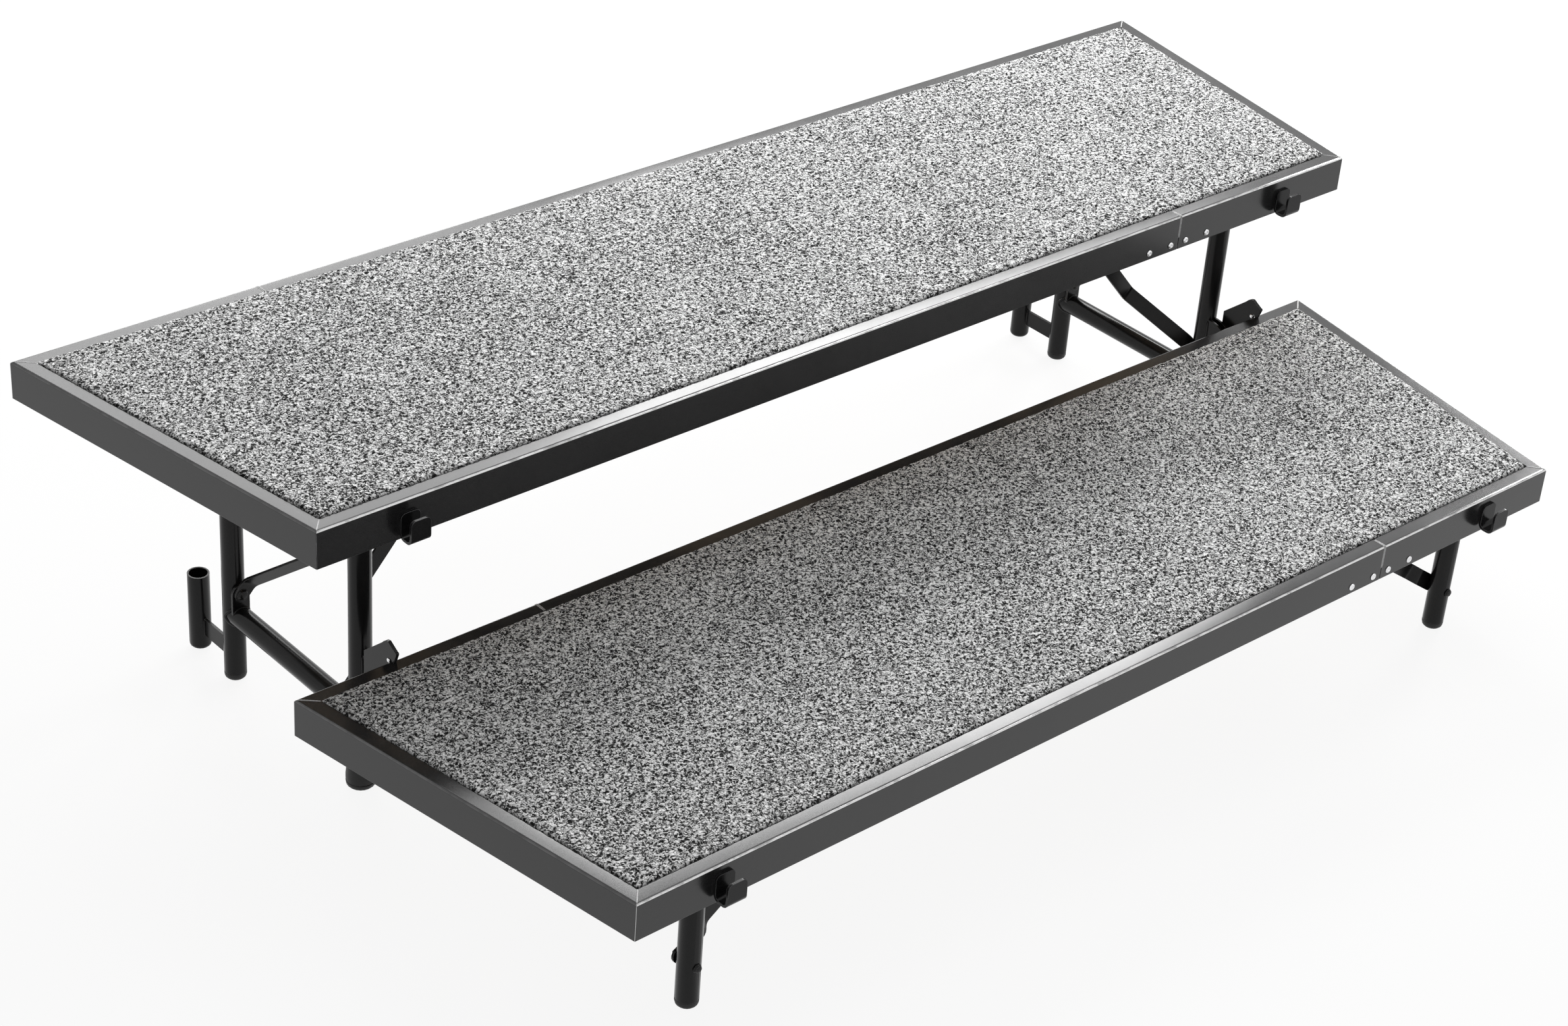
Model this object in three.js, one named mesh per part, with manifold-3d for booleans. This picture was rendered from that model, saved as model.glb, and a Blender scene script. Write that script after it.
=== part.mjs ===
// Two-level standing choir riser: a tapered upper deck on two folding leg sets, and a tapered
// lower deck that hangs on pins at the upper legs and stands on two folding front legs.
// Millimetres. +Z up, +X right, -Y towards the singers' front. The origin is on the floor under
// the middle of the overall box.
import * as THREE from 'three';
import { mergeVertices } from 'three/addons/utils/BufferGeometryUtils.js';
import Module from 'manifold-3d';

const wasm = await Module();
wasm.setup();

// Driving dimensions of the decks
const upperRearLength = 1676.4;
const deckTaper = 152.4; // each deck is this much shorter in front than behind
const upperFrontLength = upperRearLength - deckTaper;
const lowerRearLength = upperFrontLength; // the lower deck carries the taper on
const lowerFrontLength = lowerRearLength - deckTaper;
const deckDepth = 457.2;
const upperHeight = 406.4;
const lowerHeight = 203.2;
const deckOverlap = 17.8; // the lower deck's rear edge lies this far under the upper front edge
const lowerDeckShift = -17.6; // sideways place of the lower deck on its pins

// Clearances
const seatGap = 0.3; // between fixed pieces that touch
const seamGap = 1.2; // between two rails at a spliced seam
const cutOverrun = 5; // how far a cutting solid passes the faces that it cuts

// Rail section, a rolled channel with a rim, a ledge for the panel and a lower return
const railHeight = 44.45;
const railWall = 2;
const rimWidth = 19;
const rimRadius = 3;
const ledgeWidth = 6;
const returnWidth = 14;
const frontSeamFromCorner = 294; // seam in the front rail, from its right end
const rearSeamFromCorner = 303; // seam in the rear rail, from its left end

// Panel and carpet
const panelThickness = 15.9;
const carpetThickness = 6.5;
const pileProud = 3.5; // how far the carpet stands above the rim
const panelEdgeGap = 0.5;

// Tubes
const tubeRadius = 12.7;
const tubeWall = 1.6;

// Leg places. A leg's distance from the end of its deck is taken at half the deck's depth
const upperLegFromEnd = 147.7;
const upperLegX = (upperRearLength + upperFrontLength) / 4 - upperLegFromEnd;
const lowerLegFromEnd = 144.9;
const lowerLegX = (lowerRearLength + lowerFrontLength) / 4 - lowerLegFromEnd;
const rearLegInset = 123; // from the upper deck's rear edge
const frontLegFromFront = 87.2; // from the upper deck's front edge
const frontLegInset = deckDepth - frontLegFromFront;
const lowerLegInset = 41.9; // from the lower deck's front edge
const hingeDrop = 46.4; // leg hinge axis below the rim
const legTopAboveHinge = 13.4;
const crossbarZ = 88;
const braceBoltRise = 32; // brace bolts above the crossbar
const braceBoltZ = crossbarZ + braceBoltRise;
const lowerBoltZ = 53;

// Hooks on the front rails
const hookReach = 21;
const hookWidth = 24;
const hookHeight = 29;
const hookThickness = 3;
const hookBendRadius = 8;
const hookCornerRadius = 6;
const upperHookDrop = 43.4; // hook bottom below the rim
const lowerHookDrop = 39;

// Splice rivets
const rivetRadius = 2.4;
const rivetHole = 2.8;
const rivetHeadRadius = 4.2;
const rivetHeadHeight = 1.8;
const rivetRise = 8.6; // above the rail's lower edge
const nearRivet = 13; // from the seam
const farRivet = 50;

// Places worked out from the driving dimensions
const rivetStandOff = seatGap + rivetHeadHeight; // rivet heads past the rear rail's face
const overallDepth = deckDepth * 2 - deckOverlap + seatGap + hookReach + rivetStandOff;
const rearEdge = overallDepth / 2 - rivetStandOff;
const middleInset = (rearLegInset + frontLegInset) / 2;
const ledgeDrop = seatGap + panelThickness + seatGap + carpetThickness - pileProud;
const panelUnderside = -ledgeDrop + seatGap; // heights in a deck group count from the rim

const decks = {
  upper: {
    rearLength: upperRearLength,
    frontLength: upperFrontLength,
    height: upperHeight,
    x: 0,
    y: rearEdge,
    hookDrop: upperHookDrop,
    hookX: upperLegX,
  },
  lower: {
    rearLength: lowerRearLength,
    frontLength: lowerFrontLength,
    height: lowerHeight,
    x: lowerDeckShift,
    y: rearEdge - deckDepth + deckOverlap,
    hookDrop: lowerHookDrop,
    hookX: lowerLegX,
  },
};
const sides = { left: -1, right: 1 };

const facets = { tube: 20, bolt: 12, rivet: 8, curve: 4, bend: 3, dome: 2 };

const blackSteel = { color: 0x1c1d1f, roughness: 0.42, metalness: 0.6 };
const darkFrame = { color: 0x2b2c2e, roughness: 0.38, metalness: 0.65 };
const zincSteel = { color: 0x9a9c9e, roughness: 0.35, metalness: 0.9 };
const rubber = { color: 0x141414, roughness: 0.8, metalness: 0 };
const plywood = { color: 0xb08a5a, roughness: 0.75, metalness: 0 };
const greyCarpet = { color: 0x8b8c8e, roughness: 0.95, metalness: 0 };

// Solids

function cleanTriangles(geometry) {
  const bare = geometry.clone();
  bare.deleteAttribute('normal');
  bare.deleteAttribute('uv');
  const merged = mergeVertices(bare);
  const points = merged.attributes.position.array;
  const corners = merged.index.array;
  const kept = [];
  let volume = 0;
  const [a, b, c] = [new THREE.Vector3(), new THREE.Vector3(), new THREE.Vector3()];
  for (let i = 0; i < corners.length; i += 3) {
    const [p, q, r] = [corners[i], corners[i + 1], corners[i + 2]];
    if (p === q || q === r || r === p) continue;
    kept.push(p, q, r);
    a.fromArray(points, p * 3);
    b.fromArray(points, q * 3);
    c.fromArray(points, r * 3);
    volume += a.dot(b.cross(c));
  }
  // A profile that runs the other way gives faces that point in, so they are turned round
  if (volume < 0) kept.reverse();
  return { points, kept };
}

function solid(geometry) {
  const { points, kept } = cleanTriangles(geometry);
  const vertProperties = new Float32Array(points);
  const triVerts = new Uint32Array(kept);
  return new wasm.Manifold(new wasm.Mesh({ numProp: 3, vertProperties, triVerts }));
}

function join(...solids) {
  return solids.reduce((sum, next) => sum.add(next));
}

function cut(body, ...tools) {
  return tools.reduce((rest, tool) => rest.subtract(tool), body);
}

function addPiece(group, name, body, finish) {
  const { vertProperties, triVerts } = body.getMesh();
  const geometry = new THREE.BufferGeometry();
  geometry.setAttribute('position', new THREE.BufferAttribute(new Float32Array(vertProperties), 3));
  geometry.setIndex(new THREE.BufferAttribute(new Uint32Array(triVerts), 1));
  geometry.computeVertexNormals();
  const piece = new THREE.Mesh(geometry, new THREE.MeshStandardMaterial(finish));
  piece.name = name;
  group.add(piece);
  return piece;
}

const axisX = new THREE.Vector3(1, 0, 0);
const axisY = new THREE.Vector3(0, 1, 0);
const axisZ = new THREE.Vector3(0, 0, 1);

function extruded(shape, depth) {
  return new THREE.ExtrudeGeometry(shape, { depth, bevelEnabled: false, curveSegments: facets.curve });
}

// A shape drawn in (y, z), from one x to another
function alongX(shape, from, to) {
  const turn = new THREE.Matrix4().makeBasis(axisY, axisZ, axisX).setPosition(from, 0, 0);
  return solid(extruded(shape, to - from).applyMatrix4(turn));
}

// A shape drawn in (x, z), from one y to another
function alongY(shape, from, to) {
  const turn = new THREE.Matrix4().makeBasis(axisX, axisZ, axisY.clone().negate()).setPosition(0, to, 0);
  return solid(extruded(shape, to - from).applyMatrix4(turn));
}

// A shape drawn in (x, y), from one z to another
function alongZ(shape, from, to) {
  return solid(extruded(shape, to - from).translate(0, 0, from));
}

function rodX(radius, from, to, y, z, count) {
  const rod = new THREE.CylinderGeometry(radius, radius, to - from, count).rotateZ(-Math.PI / 2);
  return solid(rod.translate((from + to) / 2, y, z));
}

function rodY(radius, from, to, x, z, count) {
  const rod = new THREE.CylinderGeometry(radius, radius, to - from, count);
  return solid(rod.translate(x, (from + to) / 2, z));
}

// A profile of (radius, height) turned round a vertical axis at (x, y)
function turned(profile, x, y) {
  const points = profile.map(([radius, height]) => new THREE.Vector2(radius, height));
  return solid(new THREE.LatheGeometry(points, facets.tube).rotateX(Math.PI / 2).translate(x, y, 0));
}

function block(x0, x1, y0, y1, z0, z1) {
  const box = new THREE.BoxGeometry(x1 - x0, y1 - y0, z1 - z0);
  return solid(box.translate((x0 + x1) / 2, (y0 + y1) / 2, (z0 + z1) / 2));
}

// A domed head on a rod along y: from its seat at y, standing out by height in direction way
function domeY(radius, height, x, y, z, way, count) {
  const profile = [new THREE.Vector2(0, 0), new THREE.Vector2(radius, 0)];
  for (let i = 1; i <= facets.dome; i += 1) {
    const angle = (i / facets.dome) * (Math.PI / 2);
    profile.push(new THREE.Vector2(radius * Math.cos(angle), height * Math.sin(angle)));
  }
  profile[profile.length - 1].x = 0;
  const dome = new THREE.LatheGeometry(profile, count);
  if (way < 0) dome.rotateX(Math.PI);
  return solid(dome.translate(x, y, z));
}

// A shank along y from one end to the seat of its domed head, which it runs into
function headedRod({ radius, from, seat, headRadius, headHeight, x, z, count }) {
  const way = Math.sign(seat - from);
  const end = seat + (way * headHeight) / 2;
  const shank = rodY(radius, Math.min(from, end), Math.max(from, end), x, z, count);
  return shank.add(domeY(headRadius, headHeight, x, seat, z, way, count));
}

function polygon(points) {
  return new THREE.Shape(points.map(([a, b]) => new THREE.Vector2(a, b)));
}

// A bar with round ends between two points, of the given half width
function stadium(a0, b0, a1, b1, half) {
  const angle = Math.atan2(b1 - b0, a1 - a0);
  const shape = new THREE.Shape();
  shape.absarc(a1, b1, half, angle - Math.PI / 2, angle + Math.PI / 2, false);
  shape.absarc(a0, b0, half, angle + Math.PI / 2, angle + Math.PI * 1.5, false);
  shape.closePath();
  return shape;
}

// Deck outline: the outer corners in plan, counter-clockwise from the rear left

function deckCorners(deck) {
  const rear = deck.rearLength / 2;
  const front = deck.frontLength / 2;
  return [
    new THREE.Vector2(-rear, 0),
    new THREE.Vector2(-front, -deckDepth),
    new THREE.Vector2(front, -deckDepth),
    new THREE.Vector2(rear, 0),
  ];
}

function inward(from, to) {
  const along = to.clone().sub(from).normalize();
  return new THREE.Vector2(-along.y, along.x);
}

// The direction in which a mitred corner moves inwards by one unit of width
function mitre(before, corner, after) {
  const first = inward(before, corner);
  const second = inward(corner, after);
  return first.clone().add(second).divideScalar(1 + first.dot(second));
}

function insetOutline(deck, inset) {
  const corners = deckCorners(deck);
  return corners.map((corner, i) => {
    const before = corners[(i + 3) % 4];
    const after = corners[(i + 1) % 4];
    return corner.clone().addScaledVector(mitre(before, corner, after), inset);
  });
}

// Rails: the section is carried along the deck's edge, turned at the mitres

function railSection() {
  const ledgeTop = -ledgeDrop;
  const section = new THREE.Shape();
  section.moveTo(0, -railHeight);
  section.lineTo(returnWidth, -railHeight);
  section.lineTo(returnWidth, -railHeight + railWall);
  section.lineTo(railWall, -railHeight + railWall);
  section.lineTo(railWall, -railWall);
  section.lineTo(rimWidth - railWall, -railWall);
  section.lineTo(rimWidth - railWall, ledgeTop - railWall);
  section.lineTo(rimWidth + ledgeWidth, ledgeTop - railWall);
  section.lineTo(rimWidth + ledgeWidth, ledgeTop);
  section.lineTo(rimWidth, ledgeTop);
  section.lineTo(rimWidth, -railWall);
  section.quadraticCurveTo(rimWidth, 0, rimWidth - railWall, 0);
  section.lineTo(rimRadius, 0);
  section.absarc(rimRadius, -rimRadius, rimRadius, Math.PI / 2, Math.PI, false);
  return section.extractPoints(facets.bend).shape;
}

// stations: points on the deck's edge, each with the direction that its section turns inwards
function sweptRail(stations) {
  const section = railSection();
  const count = section.length;
  const points = [];
  for (const { at, across } of stations) {
    for (const { x: width, y: height } of section) {
      points.push(at.x + across.x * width, at.y + across.y * width, height);
    }
  }
  const faces = [];
  for (let ring = 0; ring + 1 < stations.length; ring += 1) {
    for (let i = 0; i < count; i += 1) {
      const next = (i + 1) % count;
      const [a, b] = [ring * count + i, ring * count + next];
      const [c, d] = [a + count, b + count];
      faces.push(a, b, d, a, d, c);
    }
  }
  const last = (stations.length - 1) * count;
  for (const [p, q, r] of THREE.ShapeUtils.triangulateShape(section, [])) {
    faces.push(r, q, p);
    faces.push(last + p, last + q, last + r);
  }
  const geometry = new THREE.BufferGeometry();
  geometry.setAttribute('position', new THREE.Float32BufferAttribute(points, 3));
  geometry.setIndex(faces);
  return solid(geometry);
}

const rivetPlaces = [-farRivet, -nearRivet, nearRivet, farRivet];
const spliceHalfLength = 66;
const spliceThickness = 2.5;
const spliceDrop = 8; // splice top below the rim

// x of the seam, and the outer face it is on, with the way that points out of the deck
function seams(deck) {
  return {
    front: { x: deck.frontLength / 2 - frontSeamFromCorner, y: -deckDepth, out: -1 },
    rear: { x: -deck.rearLength / 2 + rearSeamFromCorner, y: 0, out: 1 },
  };
}

function rivetHoles(seam) {
  const z = -railHeight + rivetRise;
  return rivetPlaces.map((place) => {
    const [from, to] = [seam.y - cutOverrun, seam.y + cutOverrun];
    return rodY(rivetHole, from, to, seam.x + place, z, facets.rivet);
  });
}

function frameRails(group, deck, level) {
  const [rearLeft, frontLeft, frontRight, rearRight] = deckCorners(deck);
  const { front, rear } = seams(deck);
  const halfGap = seatGap / 2;
  const halfSeam = seamGap / 2;
  const step = (from, to, length) => to.clone().sub(from).setLength(length).add(from);
  const acrossFront = inward(frontLeft, frontRight);
  const acrossRear = inward(rearRight, rearLeft);
  const atFrontLeft = mitre(rearLeft, frontLeft, frontRight);
  const atFrontRight = mitre(frontLeft, frontRight, rearRight);
  const atRearRight = mitre(frontRight, rearRight, rearLeft);
  const atRearLeft = mitre(rearRight, rearLeft, frontLeft);
  const frontPlace = (x) => new THREE.Vector2(x, front.y);
  const rearPlace = (x) => new THREE.Vector2(x, rear.y);

  const frontRail = sweptRail([
    { at: step(frontLeft, frontRight, halfGap), across: atFrontLeft },
    { at: frontPlace(front.x - halfSeam), across: acrossFront },
  ]);
  const rightRail = sweptRail([
    { at: frontPlace(front.x + halfSeam), across: acrossFront },
    { at: frontRight, across: atFrontRight },
    { at: step(rearRight, frontRight, halfGap), across: atRearRight },
  ]);
  const rearRail = sweptRail([
    { at: step(rearRight, rearLeft, halfGap), across: atRearRight },
    { at: rearPlace(rear.x + halfSeam), across: acrossRear },
  ]);
  const leftRail = sweptRail([
    { at: rearPlace(rear.x - halfSeam), across: acrossRear },
    { at: rearLeft, across: atRearLeft },
    { at: step(frontLeft, rearLeft, halfGap), across: atFrontLeft },
  ]);
  const frontHoles = rivetHoles(front);
  const rearHoles = rivetHoles(rear);
  addPiece(group, `${level}_front_rail`, cut(frontRail, ...frontHoles), darkFrame);
  addPiece(group, `${level}_right_rail`, cut(rightRail, ...frontHoles), darkFrame);
  addPiece(group, `${level}_rear_rail`, cut(rearRail, ...rearHoles), darkFrame);
  addPiece(group, `${level}_left_rail`, cut(leftRail, ...rearHoles), darkFrame);
}

// A plate inside the seam with four domed rivets that pass out through the rail
function splice(group, seam, name) {
  const near = seam.y - seam.out * (railWall + seatGap);
  const far = near - seam.out * spliceThickness;
  const bottom = -railHeight + railWall + seatGap;
  const plate = block(
    seam.x - spliceHalfLength,
    seam.x + spliceHalfLength,
    Math.min(near, far),
    Math.max(near, far),
    bottom,
    -spliceDrop,
  );
  const z = -railHeight + rivetRise;
  const rivets = rivetPlaces.map((place) =>
    headedRod({
      radius: rivetRadius,
      from: (near + far) / 2,
      seat: seam.y + seam.out * seatGap,
      headRadius: rivetHeadRadius,
      headHeight: rivetHeadHeight,
      x: seam.x + place,
      z,
      count: facets.rivet,
    }),
  );
  addPiece(group, name, join(plate, ...rivets), zincSteel);
}

function panelAndCarpet(group, deck, level) {
  const outline = new THREE.Shape(insetOutline(deck, rimWidth + panelEdgeGap));
  const panelTop = panelUnderside + panelThickness;
  const carpetBottom = panelTop + seatGap;
  const carpet = alongZ(outline, carpetBottom, carpetBottom + carpetThickness);
  addPiece(group, `${level}_panel`, alongZ(outline, panelUnderside, panelTop), plywood);
  addPiece(group, `${level}_carpet`, carpet, greyCarpet);
}

// A strip bent into a J: back plate on the rail's face, rounded bottom, raised lip
function railHook(group, deck, name, x) {
  const back = -deckDepth - seatGap;
  const front = back - hookReach;
  const bottom = -deck.hookDrop;
  const top = bottom + hookHeight;
  const inner = hookBendRadius - hookThickness;
  const strip = new THREE.Shape();
  const bendZ = bottom + hookBendRadius;
  const [bendBack, bendFront] = [back - hookBendRadius, front + hookBendRadius];
  strip.moveTo(back, top);
  strip.lineTo(back, bendZ);
  strip.absarc(bendBack, bendZ, hookBendRadius, 0, -Math.PI / 2, true);
  strip.absarc(bendFront, bendZ, hookBendRadius, -Math.PI / 2, -Math.PI, true);
  strip.lineTo(front, top);
  strip.lineTo(front + hookThickness, top);
  strip.absarc(bendFront, bendZ, inner, -Math.PI, -Math.PI / 2, false);
  strip.absarc(bendBack, bendZ, inner, -Math.PI / 2, 0, false);
  strip.lineTo(back - hookThickness, top);
  strip.closePath();
  const body = alongX(strip, x - hookWidth / 2, x + hookWidth / 2);
  // Rounded upper corners on the plate and on the lip
  const corner = hookCornerRadius;
  const face = new THREE.Shape();
  const [l, r] = [x - hookWidth / 2, x + hookWidth / 2];
  face.moveTo(l, bottom - cutOverrun);
  face.lineTo(r, bottom - cutOverrun);
  face.lineTo(r, top - corner);
  face.absarc(r - corner, top - corner, corner, 0, Math.PI / 2, false);
  face.lineTo(l + corner, top);
  face.absarc(l + corner, top - corner, corner, Math.PI / 2, Math.PI, false);
  face.closePath();
  const outline = alongY(face, front - cutOverrun, back + cutOverrun);
  addPiece(group, name, body.intersect(outline), blackSteel);
}

// Hinge brackets: a hat-shaped bracket under the panel with a headed pin through its cheeks

const cheekThickness = 2.5;
const cheekGap = 0.6; // between leg and cheek
const bracketHalfLength = 22;
const bracketFlange = 12;
const pinRadius = 4.5;
const pinClearance = 0.35;
const pinHeadRadius = 7;
const pinHeadHeight = 3;
const cheekRadius = 13;

// frontFlange is left out where the leg stands close behind the front rail
function hingeBracket(group, name, x, y, frontFlange) {
  const top = panelUnderside - seatGap;
  const inner = tubeRadius + cheekGap;
  const outer = inner + cheekThickness;
  const low = -hingeDrop - cheekRadius;
  const hat = polygon([
    [y - outer - frontFlange, top],
    [y - outer - frontFlange, top - cheekThickness],
    ...(frontFlange > 0 ? [[y - outer, top - cheekThickness]] : []),
    [y - outer, low],
    [y - inner, low],
    [y - inner, top - cheekThickness],
    [y + inner, top - cheekThickness],
    [y + inner, low],
    [y + outer, low],
    [y + outer, top - cheekThickness],
    [y + outer + bracketFlange, top - cheekThickness],
    [y + outer + bracketFlange, top],
  ]);
  const cheek = new THREE.Shape();
  cheek.absarc(x, -hingeDrop, cheekRadius, Math.PI, Math.PI * 2, false);
  cheek.lineTo(x + bracketHalfLength, top - cheekThickness);
  cheek.lineTo(x + bracketHalfLength, top + cutOverrun);
  cheek.lineTo(x - bracketHalfLength, top + cutOverrun);
  cheek.lineTo(x - bracketHalfLength, top - cheekThickness);
  cheek.closePath();
  const reach = outer + bracketFlange + cutOverrun;
  const sheet = alongX(hat, x - bracketHalfLength, x + bracketHalfLength);
  const formed = sheet.intersect(alongY(cheek, y - reach, y + reach));
  const pins = [-1, 1].map((way) =>
    headedRod({
      radius: pinRadius,
      from: y - way * inner,
      seat: y + way * outer,
      headRadius: pinHeadRadius,
      headHeight: pinHeadHeight,
      x,
      z: -hingeDrop,
      count: facets.bolt,
    }),
  );
  addPiece(group, name, join(formed, ...pins), blackSteel);
}

// Slotted tracks under the panel, where the upper ends of the braces slide

const trackWall = 2;
const trackHeight = 22;
const slotDrop = 10.4; // slot centre below the track's top
const notchDrop = 6; // the slot ends in a notch that drops this far and holds the open brace
const slotHalf = 3.4;
const studRadius = 3;
const trackEnd = 12; // metal past the slot at both ends
const wishboneHalfSpan = 36; // middle plane of each upper arm, from the middle of the leg set
const studReach = 2.6; // a stud's length between its bar and the track
const trackTop = panelUnderside - seatGap;
const slotZ = trackTop - slotDrop;

const barThickness = 3;
const openPivotGap = 0.4; // each stud stops this short of its slot

const upperArmAngle = THREE.MathUtils.degToRad(48.8);
const lowerBarAngle = THREE.MathUtils.degToRad(35);
const upperSlotEnd = 126.8; // the upper slots end this far from the deck's middle
const lowerFoldAngle = THREE.MathUtils.degToRad(90);

// With the leg down, a brace runs from its bolt up to its notch at the given slope. reach is how
// far inboard of the leg the notch lies.
function standingBrace(height, boltZ, slope) {
  const length = (height + slotZ - notchDrop - boltZ) / Math.sin(slope);
  return { length, reach: length * Math.cos(slope) };
}

// With the leg folded, its bolt has swung round the hinge and the same brace meets the slot
// again, this far inboard of the hinge.
function foldedReach(height, boltZ, length, fold) {
  const swing = height - hingeDrop - boltZ;
  const drop = hingeDrop + slotZ + swing * Math.cos(fold);
  return swing * Math.sin(fold) + Math.sqrt(length * length - drop * drop);
}

const upperBrace = standingBrace(upperHeight, braceBoltZ, upperArmAngle);
const lowerBrace = standingBrace(lowerHeight, lowerBoltZ, lowerBarAngle);
const lowerFoldedReach = foldedReach(lowerHeight, lowerBoltZ, lowerBrace.length, lowerFoldAngle);

function slotCutter(x0, x1, y0, y1) {
  const slot = alongY(stadium(x0, slotZ, x1, slotZ, slotHalf), y0, y1);
  const notch = alongY(stadium(x1, slotZ, x1, slotZ - notchDrop, slotHalf), y0, y1);
  return slot.add(notch);
}

function upperTrack(group, name, side) {
  const half = wishboneHalfSpan - barThickness / 2 - studReach - openPivotGap;
  const y = -middleInset;
  const channel = polygon([
    [y - half, trackTop],
    [y - half, trackTop - trackHeight],
    [y - half + trackWall, trackTop - trackHeight],
    [y - half + trackWall, trackTop - trackWall],
    [y + half - trackWall, trackTop - trackWall],
    [y + half - trackWall, trackTop - trackHeight],
    [y + half, trackTop - trackHeight],
    [y + half, trackTop],
  ]);
  const outerX = side * (upperLegX - upperBrace.reach);
  const innerX = side * upperSlotEnd;
  const [x0, x1] = [innerX - side * trackEnd, outerX + side * trackEnd];
  const body = alongX(channel, Math.min(x0, x1), Math.max(x0, x1));
  const slot = slotCutter(innerX, outerX, y - half - cutOverrun, y + half + cutOverrun);
  addPiece(group, name, cut(body, slot), blackSteel);
}

const lowerFlange = 18;
const joggleShift = 9;

// Middle plane of the lower brace's upper stretch, behind the leg's axis
const lowerBarPlane = tubeRadius + seatGap + barThickness / 2 + joggleShift;

function lowerTrack(group, name, side) {
  const web = -deckDepth + lowerLegInset + lowerBarPlane + barThickness / 2 + studReach + openPivotGap;
  const angle = polygon([
    [web, trackTop],
    [web, trackTop - trackHeight],
    [web + trackWall, trackTop - trackHeight],
    [web + trackWall, trackTop - trackWall],
    [web + lowerFlange, trackTop - trackWall],
    [web + lowerFlange, trackTop],
  ]);
  const outerX = side * (lowerLegX - lowerBrace.reach);
  const innerX = side * (lowerLegX - lowerFoldedReach);
  const [x0, x1] = [innerX - side * trackEnd, outerX + side * trackEnd];
  const body = alongX(angle, Math.min(x0, x1), Math.max(x0, x1));
  const slot = slotCutter(innerX, outerX, web - cutOverrun, web + trackWall + cutOverrun);
  addPiece(group, name, cut(body, slot), blackSteel);
}

function deckPieces(deck, level) {
  const group = new THREE.Group();
  group.position.set(deck.x, deck.y, deck.height);
  frameRails(group, deck, level);
  const { front, rear } = seams(deck);
  splice(group, front, `${level}_front_splice`);
  splice(group, rear, `${level}_rear_splice`);
  panelAndCarpet(group, deck, level);
  for (const [sideName, side] of Object.entries(sides)) {
    railHook(group, deck, `${level}_${sideName}_rail_hook`, side * deck.hookX);
  }
  return group;
}

// Legs, in a group whose origin is on the floor below the leg's axis, level with the rear edge

const footHeight = 9;
const footEdgeRadius = 5.5;
const footStem = 14;
const bootHeight = 40;
const bootTopRadius = 14.2;
const bootRadius = 16.6;
const bootFlareZ = 15;
const bootRingZ = 8;
const bootRingDepth = 0.8;
const bootFloor = 6;

function legTube(bottom, hingeZ, x, y) {
  const inner = tubeRadius - tubeWall;
  const top = hingeZ + legTopAboveHinge;
  const wall = [[inner, bottom], [tubeRadius, bottom], [tubeRadius, top], [inner, top], [inner, bottom]];
  const tube = turned(wall, x, y);
  const reach = tubeRadius + cutOverrun;
  return cut(tube, rodY(pinRadius + pinClearance, y - reach, y + reach, x, hingeZ, facets.bolt));
}

// The start of a turned profile: a flat bottom at the given height, and a rounded lower edge
function roundedBottom(radius, bottom) {
  const profile = [[0, bottom]];
  for (let i = 0; i <= facets.bend; i += 1) {
    const angle = (i / facets.bend - 1) * (Math.PI / 2);
    const across = radius - footEdgeRadius + footEdgeRadius * Math.cos(angle);
    profile.push([across, bottom + footEdgeRadius + footEdgeRadius * Math.sin(angle)]);
  }
  return profile;
}

// A pressed-in cap of the tube's own diameter
function footCap(x, y) {
  const stem = tubeRadius - tubeWall - seatGap;
  const stemTop = footHeight + footStem;
  const profile = roundedBottom(tubeRadius, 0);
  profile.push([tubeRadius, footHeight], [stem, footHeight], [stem, stemTop], [0, stemTop]);
  return turned(profile, x, y);
}

// A bell-shaped rubber boot over the tube's end, with a ring line near its rounded bottom
function footBoot(x, y) {
  const bore = tubeRadius + seatGap;
  const profile = roundedBottom(bootRadius, 0);
  profile.push(
    [bootRadius, bootRingZ - bootRingDepth],
    [bootRadius - bootRingDepth, bootRingZ],
    [bootRadius, bootRingZ + bootRingDepth],
    [bootRadius, bootFlareZ],
    [(bootRadius + bootTopRadius) / 2, (bootFlareZ + bootHeight) / 2],
    [bootTopRadius, bootHeight],
    [bore, bootHeight],
    [bore, bootFloor],
    [0, bootFloor],
  );
  return turned(profile, x, y);
}

const tabThickness = 3;
const tabHalfWidth = 11;
const tabGap = 0.3; // between leg and tab
const boltRadius = 4;
const boltHole = 4.35;
const boltHeadRadius = 7;
const boltHeadHeight = 3.5;

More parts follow.
